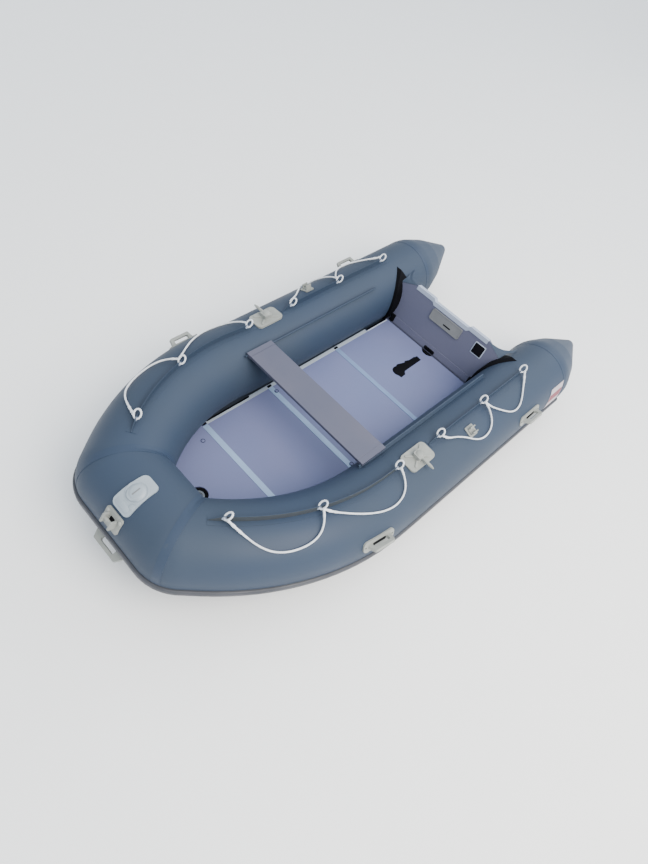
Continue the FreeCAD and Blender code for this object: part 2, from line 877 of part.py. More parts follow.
stringer_port = build_stringer()
stringer_starboard = mirror_of("stringer_starboard", stringer_port)


# Keel valve: a boot plate on the bottom with the valve disc on it, in the bow board's hole.
def build_keel_valve():
    deck = board_level - size("channel_wall")
    at = vec(valve_station, size("valve_side_offset"), deck)
    body = new_body("keel_valve", FreeCAD.Placement(at, FreeCAD.Rotation()))
    boot = body.newObject("PartDesign::AdditiveCylinder", "valve_boot")
    boot.setExpression("Radius", "Dimensions.valve_hole_radius - Dimensions.seat_gap")
    boot.setExpression("Height", "Dimensions.valve_boot_height")
    disc_step = body.newObject("PartDesign::AdditiveCylinder", "valve_disc")
    disc_step.setExpression("Radius", "Dimensions.valve_radius")
    disc_step.setExpression("Height", "Dimensions.valve_height")
    return body


keel_valve = build_keel_valve()


# Transom board: notched top for the motor, sides trimmed to stand on the holders' bases.
transom_half_top = size("half_spacing") - size("transom_top_inset")


def top_line(drop):
    """Top edge of the transom from starboard to port, lowered by a drop."""
    high = size("transom_shoulder") - drop
    low = high - size("transom_notch_depth")
    notch = size("transom_notch_half")
    ramp = notch + size("transom_notch_slope")
    half = transom_half_top
    return [(-half, high), (-ramp, high), (-notch, low), (notch, low), (ramp, high), (half, high)]


def transom_outline(foot, grown=0):
    """Outline of the untrimmed board from a foot line up, with the wings grown sideways."""
    wing = size("half_spacing") - size("transom_wing_inset") + grown
    low = size("half_spacing") - size("transom_low_inset") + grown
    level = size("transom_wing_height")
    return [(-low, foot), (-wing, level)] + top_line(0) + [(wing, level), (low, foot)]


def build_transom():
    body = new_body("transom_blank", transom_frame)
    sketch = new_sketch(body, "XY_Plane")
    draw(sketch, transom_outline(-size("transom_foot")))
    pad(body, sketch, "Dimensions.transom_thickness", reverse=True)
    bed = swept(disc(radius + size("holder_base") + size("seat_gap")), hull[:1])
    beds = feature("holder_beds", bed.fuse(mirrored_shape(bed)))
    return cut_by("transom_board", body, beds)


transom_board = build_transom()


# Cap moulding: a channel over the three-step top edge.
def build_cap():
    body = new_body("transom_cap", transom_frame)
    wall = size("cap_wall")
    depth = size("cap_depth")
    shell = new_sketch(body, "XY_Plane", vec(0, 0, wall))
    draw(shell, top_line(-wall) + list(reversed(top_line(depth))))
    pad(body, shell, "Dimensions.transom_thickness + 2 * Dimensions.cap_wall", reverse=True)
    groove = new_sketch(body, "XY_Plane")
    low = size("transom_shoulder") - 2 * depth
    draw(groove, top_line(0) + [(transom_half_top, low), (-transom_half_top, low)])
    pocket(body, groove, "Dimensions.transom_thickness")
    return body


transom_cap = build_cap()


# Batten along the foot of the transom, above the floor.
def build_batten():
    body = new_body("transom_batten", transom_frame)
    sketch = new_sketch(body, "XY_Plane")
    half = size("half_spacing") - size("batten_inset")
    draw(sketch, rectangle(-half, half, 0, size("batten_height")))
    pad(body, sketch, "Dimensions.batten_thickness")
    return body


transom_batten = build_batten()


# Motor pads: the clamp plates inside and outside, below the cap.
def build_motor_pad(name, width, height, outside):
    body = new_body(name, transom_frame)
    notch = size("transom_shoulder") - size("transom_notch_depth")
    level = notch - size("cap_depth") - size("inner_pad_drop")
    half = size(width) / 2
    shift = -size("transom_thickness") if outside else 0
    sketch = new_sketch(body, "XY_Plane", vec(0, 0, shift))
    draw(sketch, rectangle(-half, half, level - size(height), level, size("pad_corner")))
    pad(body, sketch, "Dimensions.pad_thickness", reverse=outside)
    return body


motor_pad_inner = build_motor_pad("motor_pad_inner", "inner_pad_width", "inner_pad_height", False)
motor_pad_outer = build_motor_pad("motor_pad_outer", "outer_pad_width", "outer_pad_height", True)


# Drain: a flanged valve with its plug, low on the outside of the transom.
def build_drain():
    at = transom_frame.multVec(vec(0, size("drain_height"), -size("transom_thickness")))
    body = new_body("drain_valve", placed(at, port_axis, -transom_forward))
    flange = body.newObject("PartDesign::AdditiveCylinder", "drain_flange")
    flange.setExpression("Radius", "Dimensions.drain_radius")
    flange.setExpression("Height", "Dimensions.drain_flange")
    plug = body.newObject("PartDesign::AdditiveCylinder", "drain_plug")
    plug.setExpression("Radius", "Dimensions.drain_plug_radius")
    plug.setExpression("Height", "Dimensions.drain_plug_length")
    return body


drain_valve = build_drain()


# Transom holders: crescent mouldings on the tubes that take the board's edges.
def build_holder():
    shell = swept(disc(radius + size("holder_thickness")), hull[:1])
    height_at = size("floor_height")
    low = size("holder_low_height")
    tip = size("holder_tip_height")
    middle = (low + tip) / 2
    half_width = size("holder_width") / 2 / math.cos(rake)

    def rake_x(height):
        back = size("transom_thickness") / 2 / math.cos(rake)
        return size("transom_station") - back - (height - height_at) * math.tan(rake)

    outline = [
        Part.Arc(vec(rake_x(low), 0, low), vec(rake_x(middle) + half_width, 0, middle),
                 vec(rake_x(tip), 0, tip)).toShape(),
        Part.Arc(vec(rake_x(tip), 0, tip), vec(rake_x(middle) - half_width, 0, middle),
                 vec(rake_x(low), 0, low)).toShape()]
    lens = Part.Face(Part.Wire(outline)).extrude(port_axis * size("half_spacing"))
    corners = transom_outline(-size("transom_foot") - size("overrun"), size("seat_gap"))
    points = [vec(x, y, size("seat_gap")) for x, y in corners]
    board = Part.Face(Part.makePolygon(points + points[:1]))
    board = board.extrude(vec(0, 0, -size("transom_thickness") - 2 * size("seat_gap")))
    board.Placement = transom_frame
    bed = swept(disc(radius + size("holder_base")), hull[:1])
    span = size("half_spacing")
    below_floor = Part.makeBox(
        2 * span, span, size("floor_height") + size("seat_gap"), vec(size("stern_station"), 0, 0))
    below_floor = below_floor.cut(behind_transom())
    return shell.common(lens).cut([tube_room, board.cut(bed), below_floor])


holder_port = feature("transom_holder_port", build_holder())
holder_starboard = mirror_of("transom_holder_starboard", holder_port)


# Seat tracks: a welded base, a thin web and a bolt rope along the inside of each tube.
rope_axis = radius + size("rope_reach")
rope_y = size("half_spacing") + rope_axis * math.sin(math.radians(size("track_angle")))
rope_z = radius + rope_axis * math.cos(math.radians(size("track_angle")))


def build_track():
    """A curved base on the tube, and a straight radial web with the rope on its edge."""
    inner = radius + size("seat_gap")
    half_base = math.degrees(size("track_base_width") / 2 / radius)
    middle = size("track_angle")
    outer = inner + size("track_base_thickness")
    low = middle - half_base
    high = middle + half_base
    base_face = Part.Face(Part.Wire([
        Part.Arc(polar(inner, low), polar(inner, middle), polar(inner, high)).toShape(),
        Part.makeLine(polar(inner, high), polar(outer, high)),
        Part.Arc(polar(outer, high), polar(outer, middle), polar(outer, low)).toShape(),
        Part.makeLine(polar(outer, low), polar(inner, low))]))
    aft = size("track_aft_station") - size("stern_station")
    length = size("track_front_station") - size("track_aft_station")
    base = swept(base_face, hull_between(aft, aft + length))
    web = Part.makeBox(
        length, size("track_web"), size("rope_reach"),
        vec(0, -size("track_web") / 2, -size("rope_reach")))
    rope = Part.makeCylinder(size("rope_radius"), length, origin, bow_axis)
    straight = web.fuse(rope)
    straight.Placement = FreeCAD.Placement(
        vec(size("track_aft_station"), rope_y, rope_z), FreeCAD.Rotation(bow_axis, -size("track_angle")))
    return base.fuse(straight).removeSplitter().cut(tube_room)


seat_track_port = feature("seat_track_port", build_track())
seat_track_starboard = mirror_of("seat_track_starboard", seat_track_port)


# Seat: a flat board between two moulded end caps, which reach a little past the bolt ropes.
seat_half = rope_y + size("seat_cap_margin")


def build_seat_board():
    at = vec(size("seat_station"), 0, size("seat_top_height"))
    body = new_body("seat_board", FreeCAD.Placement(at, FreeCAD.Rotation()))
    sketch = new_sketch(body, "XY_Plane")
    half = seat_half - size("seat_cap_length")
    wide = size("seat_width") / 2
    draw(sketch, rectangle(-wide, wide, -half, half))
    pad(body, sketch, "Dimensions.seat_thickness", reverse=True)
    return body


seat_board = build_seat_board()


def build_seat_cap():
    """End cap with a bore for the rope and a mouth for the web; drawn looking forward."""
    body = new_body("seat_cap_port", placed(vec(size("seat_station"), 0, 0), port_axis, bow_axis))
    outline = new_sketch(body, "XY_Plane")
    outer = seat_half
    inner = outer - size("seat_cap_length")
    top = size("seat_top_height")
    low = top - size("seat_cap_height")
    chamfer = size("seat_cap_chamfer")
    draw(outline, [
        (inner, low), (outer - chamfer, low), (outer, low + chamfer), (outer, top), (inner, top)])
    pad(body, outline, "Dimensions.seat_width", centred=True)
    bore = new_sketch(body, "XY_Plane")
    bore.addGeometry(Part.Circle(
        vec(rope_y, rope_z, 0), up_axis, size("rope_radius") + size("rope_clearance")), False)
    pocket(body, bore, "Dimensions.seat_width", centred=True)
    mouth = new_sketch(body, "XY_Plane")
    down = FreeCAD.Rotation(up_axis, -size("track_angle")).multVec(vec(0, -1, 0))
    across = vec(-down.y, down.x, 0) * (size("track_mouth") / 2)
    start = vec(rope_y, rope_z, 0)
    end = start + down * size("rope_reach")
    corners = [start - across, end - across, end + across, start + across]
    draw(mouth, [(corner.x, corner.y) for corner in corners])
    pocket(body, mouth, "Dimensions.seat_width", centred=True)
    return body


seat_cap_port = build_seat_cap()
seat_cap_starboard = mirror_of("seat_cap_starboard", seat_cap_port)


# Fittings: each is built flat over its frame on the tube and trimmed to the tube's skin.
def build_rowlock():
    frame = on_tube(size("rowlock_distance"), size("rowlock_angle"))
    body = new_body("rowlock_blank", frame)
    plate = new_sketch(body, "XY_Plane", vec(0, 0, size("rowlock_plate")))
    long_half = size("rowlock_length") / 2
    wide_half = size("rowlock_width") / 2
    draw(plate, rectangle(-long_half, long_half, -wide_half, wide_half, size("rowlock_corner")))
    pad(body, plate, "Dimensions.rowlock_plate + Dimensions.handle_sink", reverse=True)
    block = new_sketch(body, "XY_Plane")
    block_x = size("rowlock_block_length") / 2
    block_y = size("rowlock_block_width") / 2
    draw(block, rectangle(-block_x, block_x, -block_y, block_y, size("rowlock_pin_radius")))
    pad(body, block, "Dimensions.rowlock_plate + Dimensions.rowlock_block_height")
    pin = body.newObject("PartDesign::AdditiveCylinder", "rowlock_pin")
    pin.setExpression("Radius", "Dimensions.rowlock_pin_radius")
    pin.setExpression("Height", "Dimensions.rowlock_pin_length + Dimensions.rowlock_block_width / 2")
    tip = body.newObject("PartDesign::AdditiveCone", "rowlock_tip")
    tip.setExpression("Radius1", "Dimensions.rowlock_pin_radius")
    tip.setExpression("Radius2", "Dimensions.rowlock_pin_radius * Dimensions.rowlock_tip_share")
    tip.setExpression("Height", "Dimensions.rowlock_tip_length")
    level = size("rowlock_pin_height")
    outward = FreeCAD.Rotation(bow_axis, -right_angle)
    pin.Placement = FreeCAD.Placement(vec(0, 0, level), outward)
    reach = size("rowlock_pin_length") + size("rowlock_block_width") / 2
    tip.Placement = FreeCAD.Placement(vec(0, reach, level), outward)
    return cut_by("rowlock_port", body, tube_cutter)


rowlock_port = build_rowlock()
rowlock_starboard = mirror_of("rowlock_starboard", rowlock_port)


def build_oar_clip():
    body = new_body("oar_clip_blank", on_tube(size("clip_distance"), size("clip_angle")))
    half = size("clip_size") / 2
    plate = new_sketch(body, "XY_Plane", vec(0, 0, size("clip_plate")))
    draw(plate, rectangle(-half, half, -half, half, size("clip_jaw_wall")))
    pad(body, plate, "Dimensions.clip_plate + Dimensions.handle_sink", reverse=True)
    jaws = new_sketch(body, "YZ_Plane")
    gap = size("clip_jaw_gap") / 2
    wall = size("clip_jaw_wall")
    top = size("clip_plate") + size("clip_jaw_height")
    floor_of_jaw = size("clip_plate") + wall
    draw(jaws, [
        (-gap - wall, 0), (gap + wall, 0), (gap + wall, top), (gap, top), (gap, floor_of_jaw),
        (-gap, floor_of_jaw), (-gap, top), (-gap - wall, top)])
    pad(body, jaws, "Dimensions.clip_jaw_length", centred=True)
    return cut_by("oar_clip_port", body, tube_cutter)


oar_clip_port = build_oar_clip()
oar_clip_starboard = mirror_of("oar_clip_starboard", oar_clip_port)


def build_handle(name, frame, length, span, foot_name, rise_name):
    """Carry handle: a rounded pad with a grip that stands on two broad feet."""
    body = new_body(name + "_blank", frame)
    plate = new_sketch(body, "XY_Plane", vec(0, 0, size("handle_plate")))
    long_half = size(length) / 2
    wide_half = size("handle_width") / 2
    draw(plate, rectangle(-long_half, long_half, -wide_half, wide_half, size("handle_corner")))
    pad(body, plate, "Dimensions.handle_plate + Dimensions.handle_sink", reverse=True)
    bridge = new_sketch(body, "XZ_Plane")
    inner = size(span) / 2
    bar = 2 * size("grip_radius")
    foot = size(foot_name)
    rise = size(rise_name)
    draw(bridge, [
        (-inner - foot, 0), (-inner, 0), (-inner, rise, size("grip_radius")),
        (inner, rise, size("grip_radius")), (inner, 0), (inner + foot, 0),
        (inner + foot / 2, rise + bar, size("grip_radius")),
        (-inner - foot / 2, rise + bar, size("grip_radius"))])
    pad(body, bridge, "2 * Dimensions.grip_radius", centred=True)
    return cut_by(name, body, tube_cutter)


side_handle = ("handle_length", "handle_span", "handle_foot", "handle_rise")
fore_frame = on_tube(size("handle_fore_distance"), size("handle_angle"))
handle_fore_port = build_handle("handle_fore_port", fore_frame, *side_handle)
handle_fore_starboard = mirror_of("handle_fore_starboard", handle_fore_port)
aft_frame = on_tube(size("handle_aft_distance"), size("handle_angle"))
handle_aft_port = build_handle("handle_aft_port", aft_frame, *side_handle)
handle_aft_starboard = mirror_of("handle_aft_starboard", handle_aft_port)
bow_handle = build_handle(
    "bow_handle", on_tube(half_length, size("bow_handle_angle")),
    "bow_handle_length", "bow_handle_span", "bow_handle_foot", "bow_handle_rise")


# Lifeline patches: a tape along the top of the tube and a fin that stands on it.
fore_eyelets = ["eyelet_fore_first", "eyelet_fore_second", "eyelet_fore_third"]
aft_eyelets = ["eyelet_aft_first", "eyelet_aft_second", "eyelet_aft_third"]
barrel_radius = size("lifeline_radius") + size("eyelet_play") + size("eyelet_wall")


def patch_face():
    """Section of the tape and the fin: X outboard and Y up from the tube's axis."""
    inner = radius + size("seat_gap")
    outer = inner + size("tape_thickness")
    top = radius + size("fin_height")
    half_tape = math.degrees(size("tape_width") / 2 / radius)
    half_fin = size("fin_thickness") / 2
    foot = math.degrees(math.asin(half_fin / outer))
    flank = (half_tape + foot) / 2
    edges = [
        Part.Arc(polar(inner, -half_tape), polar(inner, 0), polar(inner, half_tape)).toShape(),
        Part.makeLine(polar(inner, half_tape), polar(outer, half_tape)),
        Part.Arc(polar(outer, half_tape), polar(outer, flank), polar(outer, foot)).toShape(),
        Part.makeLine(polar(outer, foot), vec(half_fin, top, 0)),
        Part.makeLine(vec(half_fin, top, 0), vec(-half_fin, top, 0)),
        Part.makeLine(vec(-half_fin, top, 0), polar(outer, -foot)),
        Part.Arc(polar(outer, -foot), polar(outer, -flank), polar(outer, -half_tape)).toShape(),
        Part.makeLine(polar(outer, -half_tape), polar(inner, -half_tape))]
    return Part.Face(Part.Wire(edges))


def ramp_cutter(distance, towards_bow):
    """Wedge that takes a fin's top down to its toe at one end."""
    sign = 1 if towards_bow else -1
    over = size("overrun")
    toe = size("fin_toe")
    top = size("fin_height")
    corners = [(-size("fin_ramp"), top), (0, toe), (over, toe), (over, top + over),
               (-size("fin_ramp"), top + over)]
    points = [vec(sign * x, -over, z) for x, z in corners]
    wedge = Part.Face(Part.makePolygon(points + points[:1])).extrude(port_axis * 2 * over)
    wedge.Placement = on_tube(distance, 0)
    return wedge


def across_tube(name):
    """Frame at an eyelet: Z across the fin, X up."""
    frame = on_tube(size(name), 0, size("eyelet_height"))
    return frame.multiply(FreeCAD.Placement(origin, FreeCAD.Rotation(bow_axis, -right_angle)))


def build_patch(eyelets):
    front = size(eyelets[0]) + size("fin_overhang")
    aft = size(eyelets[2]) - size("fin_overhang")
    cutters = [ramp_cutter(front, True), ramp_cutter(aft, False)]
    for name in eyelets:
        hole = Part.makeCylinder(
            barrel_radius + size("seat_gap"), 2 * size("fin_thickness"),
            vec(0, 0, -size("fin_thickness")))
        hole.Placement = across_tube(name)
        cutters.append(hole)
    return swept(patch_face(), hull_between(aft, front)).cut(cutters)


def build_eyelet(name):
    """Barrel through the fin with a flange on each side of it."""
    flange = size("eyelet_flange_thickness")
    near = size("fin_thickness") / 2 + size("seat_gap")
    half = near + flange
    wide = barrel_radius + size("eyelet_flange_width")
    ring = Part.makeCylinder(barrel_radius, 2 * half, vec(0, 0, -half)).fuse([
        Part.makeCylinder(wide, flange, vec(0, 0, near)),
        Part.makeCylinder(wide, flange, vec(0, 0, -half))])
    bore = size("lifeline_radius") + size("eyelet_play")
    ring = ring.cut(Part.makeCylinder(bore, 2 * half, vec(0, 0, -half))).removeSplitter()
    ring.Placement = across_tube(name)
    return ring


patch_fore_port = feature("lifeline_patch_fore_port", build_patch(fore_eyelets))
patch_fore_starboard = mirror_of("lifeline_patch_fore_starboard", patch_fore_port)
patch_aft_port = feature("lifeline_patch_aft_port", build_patch(aft_eyelets))
patch_aft_starboard = mirror_of("lifeline_patch_aft_starboard", patch_aft_port)
port_rings = [build_eyelet(name) for name in fore_eyelets + aft_eyelets]
lifeline_eyelets = feature("lifeline_eyelets", Part.makeCompound(
    port_rings + [mirrored_shape(ring) for ring in port_rings]))


# Lifelines: each bay leaves one ring's side, lies down the tube and climbs to the next ring.
# A bay's points are (share of the way to the next ring, share of the sag, share of the ring's lift).
bow_bay = [
    (0, 0, 1), (0.012, 0.16, 0.72), (0.045, 0.44, 0.3), (0.11, 0.7, 0.08), (0.21, 0.88, 0),
    (0.34, 0.98, 0), (0.47, 1, 0), (0.6, 0.92, 0), (0.72, 0.71, 0), (0.83, 0.42, 0.02),
    (0.92, 0.17, 0.25), (0.972, 0.05, 0.65), (1, 0, 1)]
fore_bay = [
    (0, 0, 1), (0.012, 0.18, 0.72), (0.045, 0.46, 0.3), (0.1, 0.73, 0.08), (0.19, 0.92, 0),
    (0.31, 1, 0), (0.43, 0.93, 0), (0.55, 0.78, 0), (0.67, 0.59, 0), (0.79, 0.37, 0.02),
    (0.89, 0.19, 0.12), (0.96, 0.07, 0.5), (1, 0, 1)]
mid_bay = [
    (0, 0, 1), (0.01, 0.2, 0.72), (0.035, 0.47, 0.3), (0.09, 0.74, 0.08), (0.18, 0.93, 0),
    (0.3, 1, 0), (0.42, 0.95, 0), (0.54, 0.78, 0.14), (0.66, 0.52, 0.14), (0.78, 0.31, 0.04),
    (0.89, 0.2, 0.12), (0.96, 0.08, 0.5), (1, 0, 1)]
aft_bay = [
    (0, 0, 1), (0.03, 0.08, 0.6), (0.1, 0.25, 0.25), (0.2, 0.46, 0.08), (0.31, 0.72, 0),
    (0.42, 0.93, 0), (0.54, 1, 0), (0.66, 0.9, 0), (0.77, 0.68, 0), (0.87, 0.43, 0.05),
    (0.945, 0.22, 0.3), (0.985, 0.08, 0.75), (1, 0, 1)]
ring_lean = math.radians(size("ring_lean_angle"))
ring_back = size("ring_radius") * math.sin(ring_lean)
ring_up = size("ring_radius") * math.cos(ring_lean)
ring_level = radius + size("eyelet_height") + ring_up
ring_angle = math.degrees(math.atan(size("ring_radius") / ring_level))
ring_lift = math.hypot(ring_level, size("ring_radius")) - radius


def bay_route(aft_name, front_name, bay_points, sag_name):
    """Corner points of one bay, from the ring at its aft end to the ring at its fore end."""
    aft = size(aft_name) - ring_back
    front = size(front_name) - ring_back
    points = []
    for way, fall, rise in bay_points:
        lift = size("lifeline_lift") + (ring_lift - size("lifeline_lift")) * rise
        angle = ring_angle + (size(sag_name) - ring_angle) * fall
        points.append(on_tube(aft + (front - aft) * way, angle, lift).Base)
    return points


def rounded_wire(points):
    """Straight runs joined by tangent arcs, with the arcs' radii."""
    edges = []
    radii = []
    start = points[0]
    for before, here, after in zip(points, points[1:], points[2:]):
        back = before - here
        ahead = after - here
        half_turn = (math.pi - back.getAngle(ahead)) / 2
        reach = size("arc_share") * min(back.Length, ahead.Length)
        arc_radius = reach / math.tan(half_turn)
        back.normalize()
        ahead.normalize()
        middle = (back + ahead).normalize()
        crown = here + middle * (arc_radius / math.cos(half_turn) - arc_radius)
        edges.append(Part.LineSegment(start, here + back * reach))
        edges.append(Part.Arc(here + back * reach, crown, here + ahead * reach))
        radii.append(arc_radius)
        start = here + ahead * reach
    edges.append(Part.LineSegment(start, points[-1]))
    return Part.Wire([edge.toShape() for edge in edges]), radii


def rope_bay(name, points):
    """Round rope swept along a bay's route."""
    wire, radii = rounded_wire(points)
    spine = feature(name + "_route", wire)
    section = doc.addObject("Part::Circle", name + "_section")
    section.setExpression("Radius", "Dimensions.lifeline_radius")
    along = (points[1] - points[0]).normalize()
    section.Placement = placed(points[0], along.cross(up_axis).normalize(), along)
    sweep = doc.addObject("Part::Sweep", name)
    sweep.Sections = [section]
    sweep.Spine = (spine, ["Edge%d" % (index + 1) for index in range(len(wire.Edges))])
    sweep.Solid = True
    sweep.Frenet = False
    print(name, "radii", [round(value) for value in radii], "length", round(wire.Length))
    return sweep


def rope_ring(name, eyelet):
    """Spliced ring through an eyelet and over the fin, leaning aft."""
    ring = doc.addObject("Part::Torus", name)
    ring.setExpression("Radius1", "Dimensions.ring_radius")
    ring.setExpression("Radius2", "Dimensions.lifeline_radius")
    lean = FreeCAD.Rotation(port_axis, right_angle - size("ring_lean_angle"))
    ring.Placement = on_tube(size(eyelet), 0, size("eyelet_height")).multiply(
        FreeCAD.Placement(vec(-ring_back, 0, ring_up), lean))
    return ring


def build_lifeline(name, eyelets, front_bay, aft_bay):
    rings = [rope_ring(name + "_ring", eyelet) for eyelet in eyelets]
    front = rope_bay(name + "_front_bay", bay_route(eyelets[1], eyelets[0], *front_bay))
    aft = rope_bay(name + "_aft_bay", bay_route(eyelets[2], eyelets[1], *aft_bay))
    return fused(name, rings + [front, aft], refine=False)


lifeline_rope_fore_port = build_lifeline(
    "lifeline_rope_fore_port", fore_eyelets, (bow_bay, "sag_angle_bow"), (fore_bay, "sag_angle_fore"))
lifeline_rope_fore_starboard = mirror_of("lifeline_rope_fore_starboard", lifeline_rope_fore_port)
lifeline_rope_aft_port = build_lifeline(
    "lifeline_rope_aft_port", aft_eyelets, (mid_bay, "sag_angle_mid"), (aft_bay, "sag_angle_aft"))
lifeline_rope_aft_starboard = mirror_of("lifeline_rope_aft_starboard", lifeline_rope_aft_port)


# Bow pad: a moulding that wraps over the bow, with a raised disc.
def build_bow_pad():
    frame = on_tube(half_length, size("bow_pad_angle"))
    body = new_body("bow_pad_blank", frame)
    sketch = new_sketch(body, "XY_Plane")
    corner = size("bow_pad_corner")
    fore = size("bow_pad_fore_width") / 2
    aft = size("bow_pad_aft_width") / 2
    half = size("bow_pad_length") / 2
    draw(sketch, [
        (-aft, -half, corner), (aft, -half, corner), (fore, half, corner), (-fore, half, corner)])
    pad(body, sketch, "2 * Dimensions.overrun", centred=True)
    return body


bow_pad_blank = build_bow_pad()
doc.recompute()
nose_shell = swept(disc(radius + size("seat_gap") + size("bow_pad_thickness")), hull[-1:])
nose_shell = nose_shell.fuse(mirrored_shape(nose_shell)).removeSplitter()
pad_disc = Part.makeCylinder(
    size("bow_pad_disc_radius"), size("bow_pad_thickness") + size("bow_pad_disc_height"))
pad_disc.Placement = on_tube(half_length, size("bow_pad_angle"))
bow_pad = feature("bow_pad", nose_shell.common(bow_pad_blank.Shape).fuse(pad_disc).cut(tube_room))


# Towing bracket: a plate with two cheeks and a pin between them.
def build_bracket():
    body = new_body("bracket_blank", on_tube(half_length, size("bracket_angle")))
    plate = new_sketch(body, "XY_Plane", vec(0, 0, size("bracket_plate")))
    wide = size("bracket_width") / 2
    long_half = size("bracket_length") / 2
    draw(plate, rectangle(-wide, wide, -long_half, long_half, size("bracket_corner")))
    pad(body, plate, "Dimensions.bracket_plate + Dimensions.handle_sink", reverse=True)
    gap = size("bracket_cheek_gap") / 2
    cheek = size("bracket_cheek")
    top = size("bracket_plate") + size("bracket_cheek_height")
    for side in (-1, 1):
        sketch = new_sketch(body, "XZ_Plane")
        low, high = sorted((side * gap, side * (gap + cheek)))
        draw(sketch, rectangle(low, high, 0, top))
        pad(body, sketch, "Dimensions.bracket_cheek_length", centred=True)
    pin = body.newObject("PartDesign::AdditiveCylinder", "bracket_pin")
    pin.setExpression("Radius", "Dimensions.bracket_pin_radius")
    pin.setExpression("Height", "Dimensions.bracket_cheek_gap + Dimensions.bracket_cheek")
    pin.Placement = FreeCAD.Placement(
        vec(-gap - cheek / 2, 0, top - 2 * size("bracket_pin_radius")),
        FreeCAD.Rotation(port_axis, right_angle))
    return cut_by("towing_bracket", body, tube_cutter)


towing_bracket = build_bracket()


doc.recompute()

nodes = [
    tube_port, tube_starboard, tube_bow, cone_port, cone_starboard, rub_strake, bottom_skin, keel_strip,
    floor_board_bow, floor_board_fore, floor_board_mid, floor_board_aft, keyhole_plate,
    joiner_fore, joiner_mid, joiner_aft, stringer_port, stringer_starboard, keel_valve,
    transom_board, transom_cap, transom_batten, motor_pad_inner, motor_pad_outer, drain_valve,
    holder_port, holder_starboard, seat_track_port, seat_track_starboard,
    seat_board, seat_cap_port, seat_cap_starboard, rowlock_port, rowlock_starboard,
    oar_clip_port, oar_clip_starboard, handle_fore_port, handle_fore_starboard,
    handle_aft_port, handle_aft_starboard, bow_handle, bow_pad, towing_bracket,
    patch_fore_port, patch_fore_starboard, patch_aft_port, patch_aft_starboard,
    lifeline_eyelets, lifeline_rope_fore_port, lifeline_rope_fore_starboard,
    lifeline_rope_aft_port, lifeline_rope_aft_starboard]

for item in doc.Objects:
    if "Invalid" in item.State or "Error" in item.State:
        raise RuntimeError("failed object: " + item.Label)
for node in nodes:
    if node.Shape.isNull() or not node.Shape.isValid():
        raise RuntimeError("bad shape: " + node.Label)

os.makedirs("parts", exist_ok=True)
for node in nodes:
    node.Shape.exportStep("parts/" + node.Label + ".step")
    print(node.Label, len(node.Shape.Solids), "solids", round(node.Shape.Volume), "mm3")
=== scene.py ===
import bpy
import bmesh
import math
from mathutils import Matrix, Vector, noise


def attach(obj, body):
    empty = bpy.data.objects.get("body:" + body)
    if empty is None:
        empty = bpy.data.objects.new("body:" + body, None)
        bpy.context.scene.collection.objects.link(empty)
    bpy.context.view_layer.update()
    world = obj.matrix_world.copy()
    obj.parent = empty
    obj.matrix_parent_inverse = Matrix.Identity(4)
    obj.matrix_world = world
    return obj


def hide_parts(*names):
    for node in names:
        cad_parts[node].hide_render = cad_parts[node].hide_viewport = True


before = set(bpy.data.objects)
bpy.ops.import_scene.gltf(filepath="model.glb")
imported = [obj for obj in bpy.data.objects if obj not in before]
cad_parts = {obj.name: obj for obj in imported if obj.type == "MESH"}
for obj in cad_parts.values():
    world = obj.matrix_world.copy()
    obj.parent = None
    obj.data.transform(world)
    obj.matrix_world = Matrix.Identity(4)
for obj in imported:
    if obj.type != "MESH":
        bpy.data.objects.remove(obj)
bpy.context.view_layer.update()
scene = bpy.context.scene

# Camera: it stands high off the port bow and looks down the boat to the far
# corner of the stern, as in the photograph.
def frame_at(place, x_axis, y_axis, z_axis):
    """Matrix of a frame, from its origin and its three axes."""
    return Matrix.Translation(place) @ Matrix((x_axis, y_axis, z_axis)).transposed().to_4x4()


camera_data = bpy.data.cameras.new("camera")
camera = bpy.data.objects.new("camera", camera_data)
scene.collection.objects.link(camera)
camera_right = Vector((-0.7129, 0.6778, 0.1801))
camera_down = Vector((0.4759, 0.6562, -0.5856))
camera_ahead = Vector((-0.5151, -0.3318, -0.7904))
camera_place = Vector((2.0677, 1.2416, 2.9112))
camera.matrix_world = frame_at(camera_place, camera_right, -camera_down, -camera_ahead)
sensor_size = 36
picture_height = 864
focal_pixels = 607.5
camera_data.sensor_width = sensor_size
camera_data.sensor_fit = "AUTO"
camera_data.lens = focal_pixels / picture_height * sensor_size
scene.camera = camera


# Lifelines: white three-strand rope, ten millimetres thick. Each bay ends in spliced rings,
# which are threaded through the eyelets of the fins on top of the tubes.
tube_radius = 0.215
tube_spacing = 0.594
stern = -1.1875
side_run = 1.463
rise_radius = 1.3684
rise_turn = math.radians(6.87)
fore_run = 0.015
quarter_radius = 1.2985
quarter_turn = math.radians(40)
corner_run = 0.0897
corner_radius = 0.03


def turned(vector, axis, angle):
    return Matrix.Rotation(angle, 3, axis) @ vector


def walk_tube():
    """Runs and bends of the port tube's centre line, from the stern to the middle of the bow."""
    state = [Vector((stern, tube_spacing, tube_radius)), Vector((1, 0, 0)), Vector((0, 0, 1))]
    stretches = []

    def add(length, bend=None, axis=None):
        start, tangent, up = state
        stretches.append((start, tangent, up, length, bend, axis))
        if bend:
            centre = start + axis.cross(tangent) * bend
            angle = length / bend
            state[:] = [centre + turned(start - centre, axis, angle),
                        turned(tangent, axis, angle), turned(up, axis, angle)]
        else:
            state[0] = start + tangent * length

    add(side_run)
    add(rise_radius * rise_turn, rise_radius, Vector((0, -1, 0)))
    add(fore_run)
    add(quarter_radius * quarter_turn, quarter_radius, -state[2])
    add(corner_run)
    add(corner_radius * (math.pi / 2 - quarter_turn), corner_radius, -state[2])
    add(state[0].y)
    return stretches


tube_line = walk_tube()
half_length = sum(stretch[3] for stretch in tube_line)


